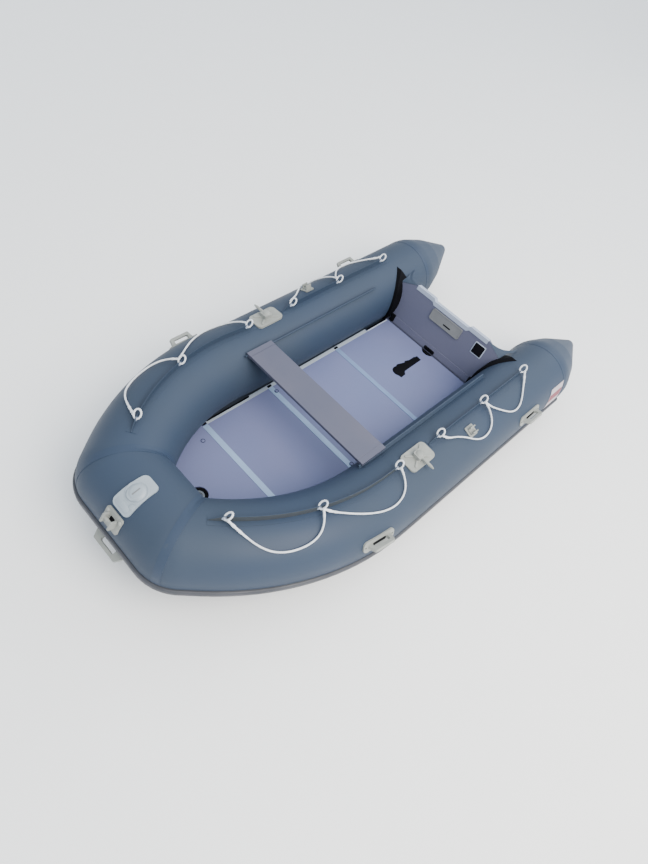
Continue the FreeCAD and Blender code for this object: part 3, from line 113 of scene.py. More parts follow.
def line_at(distance):
    """Point, tangent and up vector of the centre line at a distance from the stern."""
    for start, tangent, up, length, bend, axis in tube_line:
        if distance <= length or start is tube_line[-1][0]:
            if not bend:
                return start + tangent * distance, tangent, up
            centre = start + axis.cross(tangent) * bend
            angle = distance / bend
            return (centre + turned(start - centre, axis, angle),
                    turned(tangent, axis, angle), turned(up, axis, angle))
        distance -= length


def on_tube(distance, degrees, lift=0.0):
    """Frame on the port tube: X along it, Z out of its skin; 0 degrees is the top."""
    point, tangent, up = line_at(distance)
    out = turned(up, tangent, -math.radians(degrees))
    base = point + out * (tube_radius + lift)
    return frame_at(base, tangent, out.cross(tangent), out)


def mirrored(points):
    return [Vector((point.x, -point.y, point.z)) for point in points]


rope_radius = 0.005
ring_radius = 0.017
ring_lean = math.radians(42)
eyelet_height = 0.022
eyelet_distances = {"fore": (2.486, 2.043, 1.513), "aft": (1.166, 0.770, 0.361)}
# Points of a bay: share of the way to the next ring, share of the sag, share of the ring's lift.
bow_bay = [
    (0, 0, 1), (0.012, 0.16, 0.72), (0.045, 0.44, 0.3), (0.11, 0.7, 0.08), (0.21, 0.88, 0),
    (0.34, 0.98, 0), (0.47, 1, 0), (0.6, 0.92, 0), (0.72, 0.71, 0), (0.83, 0.42, 0.02),
    (0.92, 0.17, 0.25), (0.972, 0.05, 0.65), (1, 0, 1)]
fore_bay = [
    (0, 0, 1), (0.012, 0.18, 0.72), (0.045, 0.46, 0.3), (0.1, 0.73, 0.08), (0.19, 0.92, 0),
    (0.31, 1, 0), (0.43, 0.93, 0), (0.55, 0.78, 0), (0.67, 0.59, 0), (0.79, 0.37, 0.02),
    (0.89, 0.19, 0.12), (0.96, 0.07, 0.5), (1, 0, 1)]
mid_bay = [
    (0, 0, 1), (0.01, 0.2, 0.72), (0.035, 0.47, 0.3), (0.09, 0.74, 0.08), (0.18, 0.93, 0),
    (0.3, 1, 0), (0.42, 0.95, 0), (0.54, 0.78, 0.14), (0.66, 0.52, 0.14), (0.78, 0.31, 0.04),
    (0.89, 0.2, 0.12), (0.96, 0.08, 0.5), (1, 0, 1)]
aft_bay = [
    (0, 0, 1), (0.03, 0.08, 0.6), (0.1, 0.25, 0.25), (0.2, 0.46, 0.08), (0.31, 0.72, 0),
    (0.42, 0.93, 0), (0.54, 1, 0), (0.66, 0.9, 0), (0.77, 0.68, 0), (0.87, 0.43, 0.05),
    (0.945, 0.22, 0.3), (0.985, 0.08, 0.75), (1, 0, 1)]
ring_back = ring_radius * math.sin(ring_lean)
ring_level = tube_radius + eyelet_height + ring_radius * math.cos(ring_lean)
ring_angle = math.degrees(math.atan(ring_radius / ring_level))
ring_lift = math.hypot(ring_level, ring_radius) - tube_radius
rope_lift = 0.011


def bay_route(aft_eyelet, front_eyelet, bay_points, sag):
    """Control points of one bay: from the side of one ring, down the tube and up to the next."""
    aft, front = aft_eyelet - ring_back, front_eyelet - ring_back
    points = []
    for way, fall, rise in bay_points:
        points.append(on_tube(
            aft + (front - aft) * way, ring_angle + (sag - ring_angle) * fall,
            rope_lift + (ring_lift - rope_lift) * rise).translation)
    return points


def line_through(points):
    """Points read along the smooth line of a route."""
    curve = bpy.data.curves.new("route", "CURVE")
    curve.dimensions = "3D"
    curve.resolution_u = 16
    spline = curve.splines.new("NURBS")
    spline.points.add(len(points) - 1)
    for control, point in zip(spline.points, points):
        control.co = (*point, 1)
    spline.order_u = 3
    spline.use_endpoint_u = True
    holder = bpy.data.objects.new("route", curve)
    mesh = bpy.data.meshes.new_from_object(holder)
    line = [vertex.co.copy() for vertex in mesh.vertices]
    bpy.data.meshes.remove(mesh)
    bpy.data.objects.remove(holder)
    bpy.data.curves.remove(curve)
    return line


eye_stretch = 1.4


def ring_line(eyelet, side):
    """Centre line of a spliced eye, longer than wide, that leans aft over its fin."""
    place = on_tube(eyelet, 0, eyelet_height)
    lean = Vector((-math.sin(ring_lean), 0, math.cos(ring_lean)))
    long_half = ring_radius * eye_stretch
    steps = 48
    line = []
    for step in range(steps):
        angle = 2 * math.pi * step / steps
        line.append(place @ (lean * long_half * (1 + math.cos(angle))
                             + Vector((0, ring_radius * math.sin(angle), 0))))
    return line if side > 0 else mirrored(line)


strands = 3
strand_radius = rope_radius * 0.52
lay_length = 0.026
splice_swell = 0.4
tucks_per_metre = 170


def laid_rope(name, line, closed=False, splices=(0.0, 0.0)):
    """Three strands laid round a line; the ends swell where the strands are tucked back."""
    curve = bpy.data.curves.new(name, "CURVE")
    curve.dimensions = "3D"
    curve.bevel_depth = strand_radius
    curve.bevel_resolution = 2
    lengths = [0.0]
    for first, second in zip(line, line[1:]):
        lengths.append(lengths[-1] + (second - first).length)
    total = lengths[-1] + ((line[0] - line[-1]).length if closed else 0)
    turns = 2 * math.pi * (round(total / lay_length) if closed else total / lay_length)
    side = None
    rows = [curve.splines.new("POLY") for _ in range(strands)]
    for row in rows:
        row.points.add(len(line) - 1)
        row.use_cyclic_u = closed
    for index, point in enumerate(line):
        ahead = line[(index + 1) % len(line)] if closed or index + 1 < len(line) else point
        behind = line[index - 1] if closed or index else point
        along = (ahead - behind).normalized()
        if side is None:
            side = along.orthogonal().normalized()
        if closed:
            side = (point - sum(line, Vector()) / len(line)).normalized()
        side = (side - along * side.dot(along)).normalized()
        swell = 1.0
        for splice, from_end in zip(splices, (lengths[index], total - lengths[index])):
            if splice:
                share = min(1.0, 2 * max(0.0, 1 - from_end / splice))
                swell += splice_swell * share * (1 + 0.5 * math.cos(from_end * tucks_per_metre))
        for number, row in enumerate(rows):
            angle = turns * lengths[index] / total + 2 * math.pi * number / strands
            offset = turned(side, along, angle) * (rope_radius - strand_radius) * swell
            row.points[index].co = (*(point + offset), 1)
            row.points[index].radius = swell
    holder = bpy.data.objects.new(name, curve)
    mesh = bpy.data.meshes.new_from_object(holder)
    bpy.data.objects.remove(holder)
    bpy.data.curves.remove(curve)
    mesh.shade_smooth()
    rope = bpy.data.objects.new(name, mesh)
    scene.collection.objects.link(rope)
    return rope


def build_surface_group():
    """Patchy colour, fine grain and a worn sheen, shared by every finish of the boat."""
    group = bpy.data.node_groups.new("patches_and_grain", "ShaderNodeTree")
    face = group.interface
    for label, kind, value in (
            ("Colour", "NodeSocketColor", (0.5, 0.5, 0.5, 1)),
            ("Patch colour", "NodeSocketColor", (0.4, 0.4, 0.4, 1)),
            ("Patch scale", "NodeSocketFloat", 4.0),
            ("Grain scale", "NodeSocketFloat", 400.0),
            ("Grain contrast", "NodeSocketFloat", 0.2),
            ("Roughness", "NodeSocketFloat", 0.5)):
        face.new_socket(name=label, in_out="INPUT", socket_type=kind).default_value = value
    for label, kind in (("Colour", "NodeSocketColor"), ("Height", "NodeSocketFloat"),
                        ("Roughness", "NodeSocketFloat")):
        face.new_socket(name=label, in_out="OUTPUT", socket_type=kind)
    nodes, links = group.nodes, group.links
    inlet = nodes.new("NodeGroupInput")
    outlet = nodes.new("NodeGroupOutput")
    place = nodes.new("ShaderNodeTexCoord")
    patches = nodes.new("ShaderNodeTexNoise")
    patches.inputs["Detail"].default_value = 5
    grain = nodes.new("ShaderNodeTexNoise")
    grain.inputs["Detail"].default_value = 3
    for texture, scale in ((patches, "Patch scale"), (grain, "Grain scale")):
        links.new(place.outputs["Object"], texture.inputs["Vector"])
        links.new(inlet.outputs[scale], texture.inputs["Scale"])
    spread = nodes.new("ShaderNodeMapRange")
    spread.inputs["From Min"].default_value = 0.35
    spread.inputs["From Max"].default_value = 0.68
    links.new(patches.outputs["Fac"], spread.inputs["Value"])
    tint = nodes.new("ShaderNodeMix")
    tint.data_type = "RGBA"
    links.new(spread.outputs["Result"], tint.inputs["Factor"])
    links.new(inlet.outputs["Colour"], tint.inputs["A"])
    links.new(inlet.outputs["Patch colour"], tint.inputs["B"])
    shade = nodes.new("ShaderNodeMapRange")
    links.new(grain.outputs["Fac"], shade.inputs["Value"])
    lower = nodes.new("ShaderNodeMath")
    lower.operation = "SUBTRACT"
    lower.inputs[0].default_value = 1
    links.new(inlet.outputs["Grain contrast"], lower.inputs[1])
    upper = nodes.new("ShaderNodeMath")
    links.new(inlet.outputs["Grain contrast"], upper.inputs[1])
    upper.inputs[0].default_value = 1
    links.new(lower.outputs[0], shade.inputs["To Min"])
    links.new(upper.outputs[0], shade.inputs["To Max"])
    speckle = nodes.new("ShaderNodeMix")
    speckle.data_type = "RGBA"
    speckle.blend_type = "MULTIPLY"
    speckle.inputs["Factor"].default_value = 1
    links.new(tint.outputs["Result"], speckle.inputs["A"])
    links.new(shade.outputs["Result"], speckle.inputs["B"])
    gloss = nodes.new("ShaderNodeMath")
    gloss.operation = "MULTIPLY_ADD"
    gloss.inputs[1].default_value = 0.16
    links.new(spread.outputs["Result"], gloss.inputs[0])
    links.new(inlet.outputs["Roughness"], gloss.inputs[2])
    links.new(speckle.outputs["Result"], outlet.inputs["Colour"])
    links.new(grain.outputs["Fac"], outlet.inputs["Height"])
    links.new(gloss.outputs[0], outlet.inputs["Roughness"])
    return group


surface_group = build_surface_group()


def finish(name, colour, patch_colour, patch_scale=4.0, grain_scale=400.0, contrast=0.2,
           roughness=0.5, bump=0.2, depth=0.0006, metallic=0.0, sheen=0.0, gloss=0.5):
    """A material of the boat: its colours, the size and depth of its grain, and its gloss."""
    material = bpy.data.materials.new(name)
    material.use_nodes = True
    nodes, links = material.node_tree.nodes, material.node_tree.links
    shader = nodes["Principled BSDF"]
    surface = nodes.new("ShaderNodeGroup")
    surface.node_tree = surface_group
    for label, value in (
            ("Colour", (*colour, 1)), ("Patch colour", (*patch_colour, 1)),
            ("Patch scale", patch_scale), ("Grain scale", grain_scale),
            ("Grain contrast", contrast), ("Roughness", roughness)):
        surface.inputs[label].default_value = value
    relief = nodes.new("ShaderNodeBump")
    relief.inputs["Strength"].default_value = bump
    relief.inputs["Distance"].default_value = depth
    links.new(surface.outputs["Colour"], shader.inputs["Base Color"])
    links.new(surface.outputs["Roughness"], shader.inputs["Roughness"])
    links.new(surface.outputs["Height"], relief.inputs["Height"])
    links.new(relief.outputs["Normal"], shader.inputs["Normal"])
    shader.inputs["Metallic"].default_value = metallic
    shader.inputs["Sheen Weight"].default_value = sheen
    shader.inputs["Specular IOR Level"].default_value = gloss
    return material


rope_white = finish("rope_white", (0.80, 0.82, 0.86), (0.66, 0.69, 0.74), patch_scale=30,
                    grain_scale=1800, contrast=0.12, roughness=0.75, bump=0.5, sheen=0.2)
# Each bay's points, sag, rope length and the lengths of the splices at its aft and fore ends.
bays = {
    "fore": ((bow_bay, 41, 0.60, (0.05, 0.13)), (fore_bay, 37, 0.63, (0.04, 0.09))),
    "aft": ((mid_bay, 42, 0.535, (0.04, 0.07)), (aft_bay, 41, 0.515, (0.09, 0.05)))}
for end, eyelets in eyelet_distances.items():
    for side, word in ((1, "port"), (-1, "starboard")):
        node = "lifeline_rope_%s_%s" % (end, word)
        rings = []
        for number, eyelet in enumerate(eyelets):
            rings.append(laid_rope("%s_ring_%d" % (node, number + 1), ring_line(eyelet, side),
                                   closed=True))
        for number, (bay_points, sag, length, splices) in enumerate(bays[end]):
            route = bay_route(eyelets[number + 1], eyelets[number], bay_points, sag)
            if side < 0:
                route = mirrored(route)
            line = line_through(route)
            bay = laid_rope("%s_bay_%d" % (node, number + 1), line, splices=splices)
            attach(bay, "hull")
            bay.data.materials.append(rope_white)
            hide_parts(node)
        for ring in rings:
            ring.data.materials.append(rope_white)
            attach(ring, "hull")


# Air tubes: coated cloth, cut in panels and welded; two long sides and a nose between them,
# with a baffle and a seam where the bow corners are mitred.
section_steps = 96
weld = 1e-5
tube_cloth = finish("tube_cloth", (0.025, 0.041, 0.074), (0.031, 0.046, 0.073), patch_scale=1.6,
                    grain_scale=900, contrast=0.10, roughness=0.48, bump=0.25, depth=0.0004,
                    gloss=0.32)


def parts_of_line(first, last):
    """The runs and bends, or parts of them, between two distances from the stern."""
    kept = []
    passed = 0.0
    for _, _, _, length, bend, axis in tube_line:
        low, high = max(0.0, first - passed), min(length, last - passed)
        if low < high - 1e-9:
            point, along, above = line_at(passed + low)
            kept.append((point, along, above, high - low, bend, axis))
        passed += length
    return kept


def only(kind, items):
    """The vertices or the edges in a list of mesh parts."""
    return [item for item in items if isinstance(item, kind)]


def carry(bm, edges, stretches, run_step=0.03, turn_step=math.radians(2.5)):
    """Draws a section's edges along runs and bends."""
    for start, tangent, _, length, bend, axis in stretches:
        if bend:
            steps = max(2, round(length / bend / turn_step))
            verts = list({vert for edge in edges for vert in edge.verts})
            spun = bmesh.ops.spin(
                bm, geom=verts + edges, cent=start + axis.cross(tangent) * bend, axis=axis,
                angle=length / bend, steps=steps, use_duplicate=False)
            edges = only(bmesh.types.BMEdge, spun["geom_last"])
            continue
        steps = max(1, round(length / run_step))
        for _ in range(steps):
            grown = bmesh.ops.extrude_edge_only(bm, edges=edges)["geom"]
            edges = only(bmesh.types.BMEdge, grown)
            bmesh.ops.translate(bm, vec=tangent * length / steps,
                                verts=only(bmesh.types.BMVert, grown))


def section_frame(stretch):
    """Frame of a section at a stretch's start: X outboard, Y up and Z along the tube."""
    start, tangent, up = stretch[:3]
    return frame_at(start, up.cross(tangent), up, tangent)


def circle_section(bm, stretch, radius):
    made = bmesh.ops.create_circle(
        bm, segments=section_steps, radius=radius, matrix=section_frame(stretch))
    return list({edge for vert in made["verts"] for edge in vert.link_edges})


def piece_from(bm, name, material, slot, *nodes, body="hull", sharp=40):
    """Turns a mesh into a piece of the boat with its finish, body and the nodes it stands for."""
    bmesh.ops.remove_doubles(bm, verts=bm.verts, dist=weld)
    bmesh.ops.recalc_face_normals(bm, faces=bm.faces)
    for edge in bm.edges:
        edge.smooth = len(edge.link_faces) == 2 and edge.calc_face_angle() < math.radians(sharp)
    for part in bm.faces:
        part.smooth = True
    mesh = bpy.data.meshes.new(name)
    bm.to_mesh(mesh)
    bm.free()
    piece = bpy.data.objects.new(name, mesh)
    scene.collection.objects.link(piece)
    mesh.materials.append(material)
    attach(piece, body)
    if nodes:
        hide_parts(*nodes)
    return piece


def add_skin(piece, thickness):
    """Gives a sheet of cloth its thickness, towards its back."""
    wall = piece.modifiers.new("thickness", "SOLIDIFY")
    wall.thickness = thickness
    wall.offset = -1


def twin_of(piece, name, slot, *nodes):
    """The starboard twin of a port piece."""
    bm = bmesh.new()
    bm.from_mesh(piece.data)
    bmesh.ops.scale(bm, vec=(1, -1, 1), verts=bm.verts)
    twin = piece_from(bm, name, piece.data.materials[0], slot, *nodes)
    for wall in piece.modifiers:
        add_skin(twin, wall.thickness)
    return twin


corner_start, corner_tangent, _, corner_length, _, corner_axis = tube_line[5]
corner_centre = corner_start + corner_axis.cross(corner_tangent) * corner_radius
mitre_normal = turned(corner_tangent, corner_axis, (math.pi / 2 - quarter_turn) / 2)
corner_distance = sum(stretch[3] for stretch in tube_line[:5])


def pucker(bm, centre, normal):
    """Gathers the cloth in shallow ripples that run away from a seam."""
    for vert in bm.verts:
        away = abs((vert.co - centre).dot(normal))
        if away < pucker_reach:
            share = 1 - away / pucker_reach
            ripple = noise.noise(Vector((vert.co.x * 3, vert.co.y * 26, vert.co.z * 26)))
            vert.co += vert.normal * pucker_depth * ripple * share * share


def tube_shell(radius, first, last):
    bm = bmesh.new()
    stretches = parts_of_line(first, last)
    edges = circle_section(bm, stretches[0], radius)
    carry(bm, edges, stretches)
    return bm


def trimmed(bm, point, normal, fill=True):
    """Cuts a mesh by a plane, drops what lies ahead of it and closes the cut."""
    cut = bmesh.ops.bisect_plane(
        bm, geom=bm.verts[:] + bm.edges[:] + bm.faces[:], dist=1e-6,
        plane_co=point, plane_no=normal, clear_outer=True)
    if fill:
        bmesh.ops.edgenet_fill(bm, edges=only(bmesh.types.BMEdge, cut["geom_cut"]))


def close_ends(bm):
    bmesh.ops.holes_fill(bm, edges=[edge for edge in bm.edges if edge.is_boundary], sides=0)


pucker_reach = 0.11
pucker_depth = 0.0022


def build_side_tube():
    bm = tube_shell(tube_radius, 0, corner_distance + corner_length)
    trimmed(bm, corner_centre, mitre_normal)
    close_ends(bm)
    bmesh.ops.remove_doubles(bm, verts=bm.verts, dist=weld)
    bmesh.ops.recalc_face_normals(bm, faces=bm.faces)
    bm.normal_update()
    pucker(bm, corner_centre, mitre_normal)
    return piece_from(bm, "air_tube_port", tube_cloth, "hull_fabric", "tube_port")


tube_port = build_side_tube()
twin_of(tube_port, "air_tube_starboard", "hull_fabric", "tube_starboard")


def build_nose_tube():
    bm = tube_shell(tube_radius, corner_distance, half_length)
    trimmed(bm, corner_centre, -mitre_normal)
    close_ends(bm)
    bmesh.ops.mirror(
        bm, geom=bm.verts[:] + bm.edges[:] + bm.faces[:], axis="Y", merge_dist=weld)
    middle = [part for part in bm.faces if all(abs(vert.co.y) < weld for vert in part.verts)]
    bmesh.ops.delete(bm, geom=middle, context="FACES")
    bmesh.ops.recalc_face_normals(bm, faces=bm.faces)
    bm.normal_update()
    pucker(bm, corner_centre, mitre_normal)
    pucker(bm, *mirrored((corner_centre, mitre_normal)))
    piece_from(bm, "air_tube_nose", tube_cloth, "hull_fabric", "tube_bow")


build_nose_tube()


# Seam tapes: strips of the same cloth, welded over the butt joints of the panels at the
# bow corners and at the roots of the stern cones.
tape_thickness = 0.0012
tape_cloth = finish("tape_cloth", (0.023, 0.039, 0.073), (0.028, 0.043, 0.072), patch_scale=3,
                    grain_scale=900, contrast=0.10, roughness=0.45, bump=0.25, depth=0.0004,
                    gloss=0.32)


def build_corner_tape():
    half_width = 0.021
    bm = tube_shell(tube_radius + tape_thickness, corner_distance - 0.12, half_length - 0.05)
    trimmed(bm, corner_centre + mitre_normal * half_width, mitre_normal, fill=False)
    trimmed(bm, corner_centre - mitre_normal * half_width, -mitre_normal, fill=False)
    bmesh.ops.remove_doubles(bm, verts=bm.verts, dist=weld)
    tape = piece_from(bm, "corner_seam_port", tape_cloth, "hull_fabric")
    add_skin(tape, tape_thickness)
    return tape


corner_tape = build_corner_tape()
twin_of(corner_tape, "corner_seam_starboard", "hull_fabric")


# Stern cones: cloth gores welded to a blunt point, which climbs a little towards its tip.
cone_balls = [(0.0, 0.215), (0.113, 0.174), (0.3891, 0.042)]
cone_climb = 0.028


def build_cone():
    bm = bmesh.new()
    angles = [-math.radians(15)]
    for (near, wide), (far, narrow) in zip(cone_balls, cone_balls[1:]):
        angles.append(math.asin((wide - narrow) / (far - near)))
    angles.append(math.pi / 2)
    profile = []
    arc_steps = 9
    for (along, ball), first, last in zip(cone_balls, angles, angles[1:]):
        for step in range(arc_steps + 1):
            angle = first + (last - first) * step / arc_steps
            profile.append(Vector((ball * math.cos(angle), 0, along + ball * math.sin(angle))))
    verts = [bm.verts.new(point) for point in profile]
    edges = [bm.edges.new(pair) for pair in zip(verts, verts[1:])]
    bmesh.ops.spin(bm, geom=verts + edges, axis=(0, 0, 1), cent=(0, 0, 0), angle=2 * math.pi,
                   steps=section_steps, use_merge=True)
    bmesh.ops.remove_doubles(bm, verts=bm.verts, dist=weld)
    aft = Vector((-cone_balls[-1][0], 0, cone_climb)).normalized()
    port = Vector((0, 1, 0))
    root = Vector((stern, tube_spacing, tube_radius))
    bmesh.ops.transform(bm, matrix=frame_at(root, port, aft.cross(port), aft), verts=bm.verts)
    trimmed(bm, root, Vector((1, 0, 0)))
    return piece_from(bm, "stern_cone_port", tube_cloth, "hull_fabric", "cone_port")


cone_port = build_cone()
twin_of(cone_port, "stern_cone_starboard", "hull_fabric", "cone_starboard")


def build_cone_tape():
    stretch = parts_of_line(0.0, 0.026)
    bm = bmesh.new()
    edges = circle_section(bm, stretch[0], tube_radius + tape_thickness)
    carry(bm, edges, stretch)
    for vert in bm.verts:
        vert.co.z = max(vert.co.z, 0.0001)
    tape = piece_from(bm, "cone_seam_port", tape_cloth, "hull_fabric")
    add_skin(tape, tape_thickness)
    return tape


cone_tape = build_cone_tape()
twin_of(cone_tape, "cone_seam_starboard", "hull_fabric")


# Rubbing strake: an extruded rubber band glued round the hull below its widest line, with a
# half-round bead along its middle. The bead takes a paler copy of the band's rubber: painted light
# where it catches the lamps.
strake_angle = math.radians(101)
strake_start = 0.040


def strake_point(reach, angle):
    return Vector((reach * math.sin(angle), reach * math.cos(angle), 0))


def swept_piece(name, outline, material, *nodes):
    """A closed outline carried along the port tube and mirrored to the starboard one."""
    bm = bmesh.new()
    stretches = parts_of_line(strake_start, half_length)
    place = section_frame(stretches[0])
    verts = [bm.verts.new(place @ point) for point in outline]
    edges = [bm.edges.new((verts[index - 1], vert)) for index, vert in enumerate(verts)]
    carry(bm, edges, stretches)
    close_ends(bm)
    middle = [part for part in bm.faces if all(abs(vert.co.y) < weld for vert in part.verts)]
    bmesh.ops.delete(bm, geom=middle, context="FACES")
    bmesh.ops.mirror(
        bm, geom=bm.verts[:] + bm.edges[:] + bm.faces[:], axis="Y", merge_dist=weld)
    piece_from(bm, name, material, "strake_rubber", *nodes)


band_rubber = finish("strake_band_rubber", (0.014, 0.017, 0.026), (0.020, 0.023, 0.032),
                     patch_scale=8, grain_scale=700, contrast=0.15, roughness=0.55, bump=0.3)
# The bead's paler colour is painted light, for the part of the strake that catches the lamps.
bead_painted_light_rubber = finish("strake_bead_painted_light_rubber", (0.046, 0.048, 0.060), (0.037, 0.039, 0.049),
                     patch_scale=8, grain_scale=700, contrast=0.15, roughness=0.45, bump=0.3)
band_half = 0.028 / tube_radius
bead_half = 0.022 / tube_radius
bead_height = 0.012
band_inner = tube_radius + 0.0003
band_outer = band_inner + 0.003
band_outline = [strake_point(band_inner, strake_angle + band_half * step / 6)
                for step in range(-6, 7)]
band_outline += [strake_point(band_outer, strake_angle - band_half * step / 6 * 0.96)
                 for step in range(-6, 7)]
bead_outline = [strake_point(band_outer, strake_angle + bead_half * step / 4)
                for step in range(-4, 5)]
for step in range(1, 12):
    turn = math.pi * step / 12
    bead_outline.append(strake_point(band_outer + bead_height * math.sin(turn) ** 0.7,
                                     strake_angle + bead_half * math.cos(turn)))
swept_piece("strake_band", band_outline, band_rubber, "rub_strake")
swept_piece("strake_bead", bead_outline, bead_painted_light_rubber)


# Bottom: coated cloth stretched over the air keel and welded under the tubes, with a chafe
# strip of black rubber along the keel.
def copied(name, node, material, slot, body="hull", sharp=30):
    """A piece on the shape of a node, with its loose triangles joined."""
    bm = bmesh.new()
    bm.from_mesh(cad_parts[node].data)
    bmesh.ops.remove_doubles(bm, verts=bm.verts, dist=2 * weld)
    bmesh.ops.dissolve_limit(bm, angle_limit=math.radians(0.5), verts=bm.verts, edges=bm.edges,
                             use_dissolve_boundaries=False)
    return piece_from(bm, name, material, slot, node, body=body, sharp=sharp)


bottom_cloth = finish("bottom_cloth", (0.014, 0.022, 0.038), (0.020, 0.028, 0.044), patch_scale=2,
                      grain_scale=800, contrast=0.12, roughness=0.5, bump=0.25)
copied("bottom_cloth", "bottom_skin", bottom_cloth, "bottom_fabric")
black_rubber = finish("black_rubber", (0.0015, 0.0018, 0.003), (0.003, 0.003, 0.005),
                      patch_scale=12, grain_scale=900, contrast=0.2, roughness=0.65, bump=0.3,
                      gloss=0.08)


def dress(material, *names):
    """Gives CAD nodes their finish."""
    for name in names:
        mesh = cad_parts[name].data
        mesh.materials.clear()
        mesh.materials.append(material)


dress(black_rubber, "keel_strip")


# Pale marks on the stern quarters: a slanted patch of thin cloth with a plain stripe along it,
# glued to each tube's outer side.
mark_cloth = finish("mark_cloth", (0.48, 0.42, 0.45), (0.42, 0.37, 0.40), patch_scale=10,
                    grain_scale=900, contrast=0.08, roughness=0.45)
stripe_cloth = finish("stripe_cloth", (0.22, 0.035, 0.06), (0.18, 0.030, 0.05), patch_scale=10,
                      grain_scale=900, contrast=0.08, roughness=0.45)


def build_mark(name, material, low_angle, high_angle, first, last, lift):
    """A thin patch wrapped on the tube between two angles, with slanted ends."""
    slant = 0.0016
    middle_angle = 74
    bm = bmesh.new()
    bmesh.ops.create_grid(bm, x_segments=14, y_segments=12, size=0.5)
    for vert in bm.verts:
        angle = low_angle + (high_angle - low_angle) * (vert.co.y + 0.5)
        distance = first + (last - first) * (vert.co.x + 0.5) + slant * (angle - middle_angle)
        vert.co = on_tube(distance, angle, lift).translation
    piece = piece_from(bm, name + "_port", material, "hull_fabric")
    add_skin(piece, 0.0004)
    twin_of(piece, name + "_starboard", "hull_fabric")


build_mark("quarter_mark", mark_cloth, 58, 91, 0.050, 0.195, 0.0016)
build_mark("quarter_stripe", stripe_cloth, 68, 80, 0.055, 0.190, 0.0022)


# Floor: painted plywood boards, held edge to edge by aluminium joiners and at their sides by two
# aluminium stringers. Small fasteners and black end plugs finish the boards' edges; black strips
# along the floor's sides paint the shade in the gaps between the floor and the tubes.
board_top = 0.115
board_paint = finish("board_paint", (0.116, 0.136, 0.265), (0.132, 0.147, 0.275), patch_scale=3,
                     grain_scale=500, contrast=0.10, roughness=0.5, bump=0.35)
dress(board_paint, "floor_board_bow", "floor_board_fore", "floor_board_mid", "floor_board_aft")
bright_alloy = finish("bright_alloy", (0.62, 0.68, 0.78), (0.55, 0.61, 0.72), patch_scale=6,
                      grain_scale=600, contrast=0.10, roughness=0.36, metallic=0.35)
grey_alloy = finish("grey_alloy", (0.38, 0.43, 0.50), (0.34, 0.39, 0.46), patch_scale=6,
                    grain_scale=600, contrast=0.10, roughness=0.42, metallic=0.2)
dress(grey_alloy, "stringer_port", "stringer_starboard")
blue_alloy = finish("blue_alloy", (0.27, 0.38, 0.56), (0.24, 0.34, 0.51), patch_scale=6,
                    grain_scale=600, contrast=0.10, roughness=0.42, metallic=0.2)
dress(blue_alloy, "joiner_fore", "joiner_mid")
# The aft joiner takes a darker copy of the joiners' alloy: painted shade.
shaded_joiner_alloy = finish("shaded_joiner_alloy", (0.17, 0.25, 0.42), (0.15, 0.22, 0.38), patch_scale=6,
                    grain_scale=600, contrast=0.10, roughness=0.45, metallic=0.2)
dress(shaded_joiner_alloy, "joiner_aft")


def set_down(bm, place):
    """Puts a mesh on a frame, or bends it over a surface that is given as a function."""
    if callable(place):
        for vert in bm.verts:
            vert.co = place(vert.co)
    else:
        bmesh.ops.transform(bm, matrix=place, verts=bm.verts)


def moulded_plate(name, place, length, width, height, corner, material, slot,
                  edge_round=0.001):
    """A plate with rounded corners that stands on the ground plane of a frame."""
    bm = bmesh.new()
    bmesh.ops.create_cube(bm, size=1, matrix=Matrix.Translation((0, 0, height / 2))
                          @ Matrix.Diagonal((length, width, height, 1)))
    posts = [edge for edge in bm.edges
             if abs(edge.verts[0].co.z - edge.verts[1].co.z) > height / 2]
    bmesh.ops.bevel(bm, geom=posts, offset=corner, segments=5, profile=0.5, affect="EDGES",
                    material=-1)
    rims = [edge for edge in bm.edges if all(vert.co.z > height - 1e-6 for vert in edge.verts)]
    bmesh.ops.bevel(bm, geom=rims, offset=edge_round, segments=2, profile=0.5, affect="EDGES",
                    material=-1)
    set_down(bm, place)
    return piece_from(bm, name, material, slot)


def round_moulding(name, place, profile, material, slot, *nodes, steps=40):
    """A round moulding: a profile of radius and height turned about the Z of a frame."""
    bm = bmesh.new()
    verts = [bm.verts.new((reach, 0, height)) for reach, height in profile]
    edges = [bm.edges.new(pair) for pair in zip(verts, verts[1:])]
    bmesh.ops.spin(bm, geom=verts + edges, axis=(0, 0, 1), cent=(0, 0, 0), angle=2 * math.pi,
                   steps=steps, use_merge=True)
    set_down(bm, place)
    return piece_from(bm, name, material, slot, *nodes)


def on_floor(x, y, lift=0.0):
    return Matrix.Translation((x, y, board_top + lift))


grey_plastic = finish("grey_plastic", (0.105, 0.125, 0.150), (0.090, 0.105, 0.130), patch_scale=10,
                      grain_scale=700, contrast=0.12, roughness=0.45)
fastener_ring = [(0.0100, 0), (0.0100, 0.0020), (0.0125, 0.0020), (0.0125, 0), (0.0100, 0)]
fastener_centre = [(0, 0.0014), (0.0090, 0.0014), (0.0102, 0.0008), (0.0102, 0), (0, 0)]
stringer_top = 0.002
fastener_places = (0.841, 0.290, 0.0), (0.273, 0.325, stringer_top)
for number, (x, y, lift) in enumerate(fastener_places):
    for side, word in ((1, "port"), (-1, "starboard")):
        place = on_floor(x, side * y, lift)
        round_moulding("floor_fastener_%d_%s" % (number + 1, word), place, fastener_ring,
                       black_rubber, "black_moulding", steps=24)
        round_moulding("fastener_centre_%d_%s" % (number + 1, word), place, fastener_centre,
                       board_paint, "board", steps=24)
joint_stations = 0.768, 0.284, -0.2875
edge_middle = -0.6835
for number, x in enumerate(joint_stations):
    for side, word in ((1, "port"), (-1, "starboard")):
        moulded_plate("joiner_plug_%d_%s" % (number + 1, word),
                      on_floor(x, side * 0.379, stringer_top), 0.030, 0.015, 0.003, 0.004,
                      black_rubber, "black_moulding")
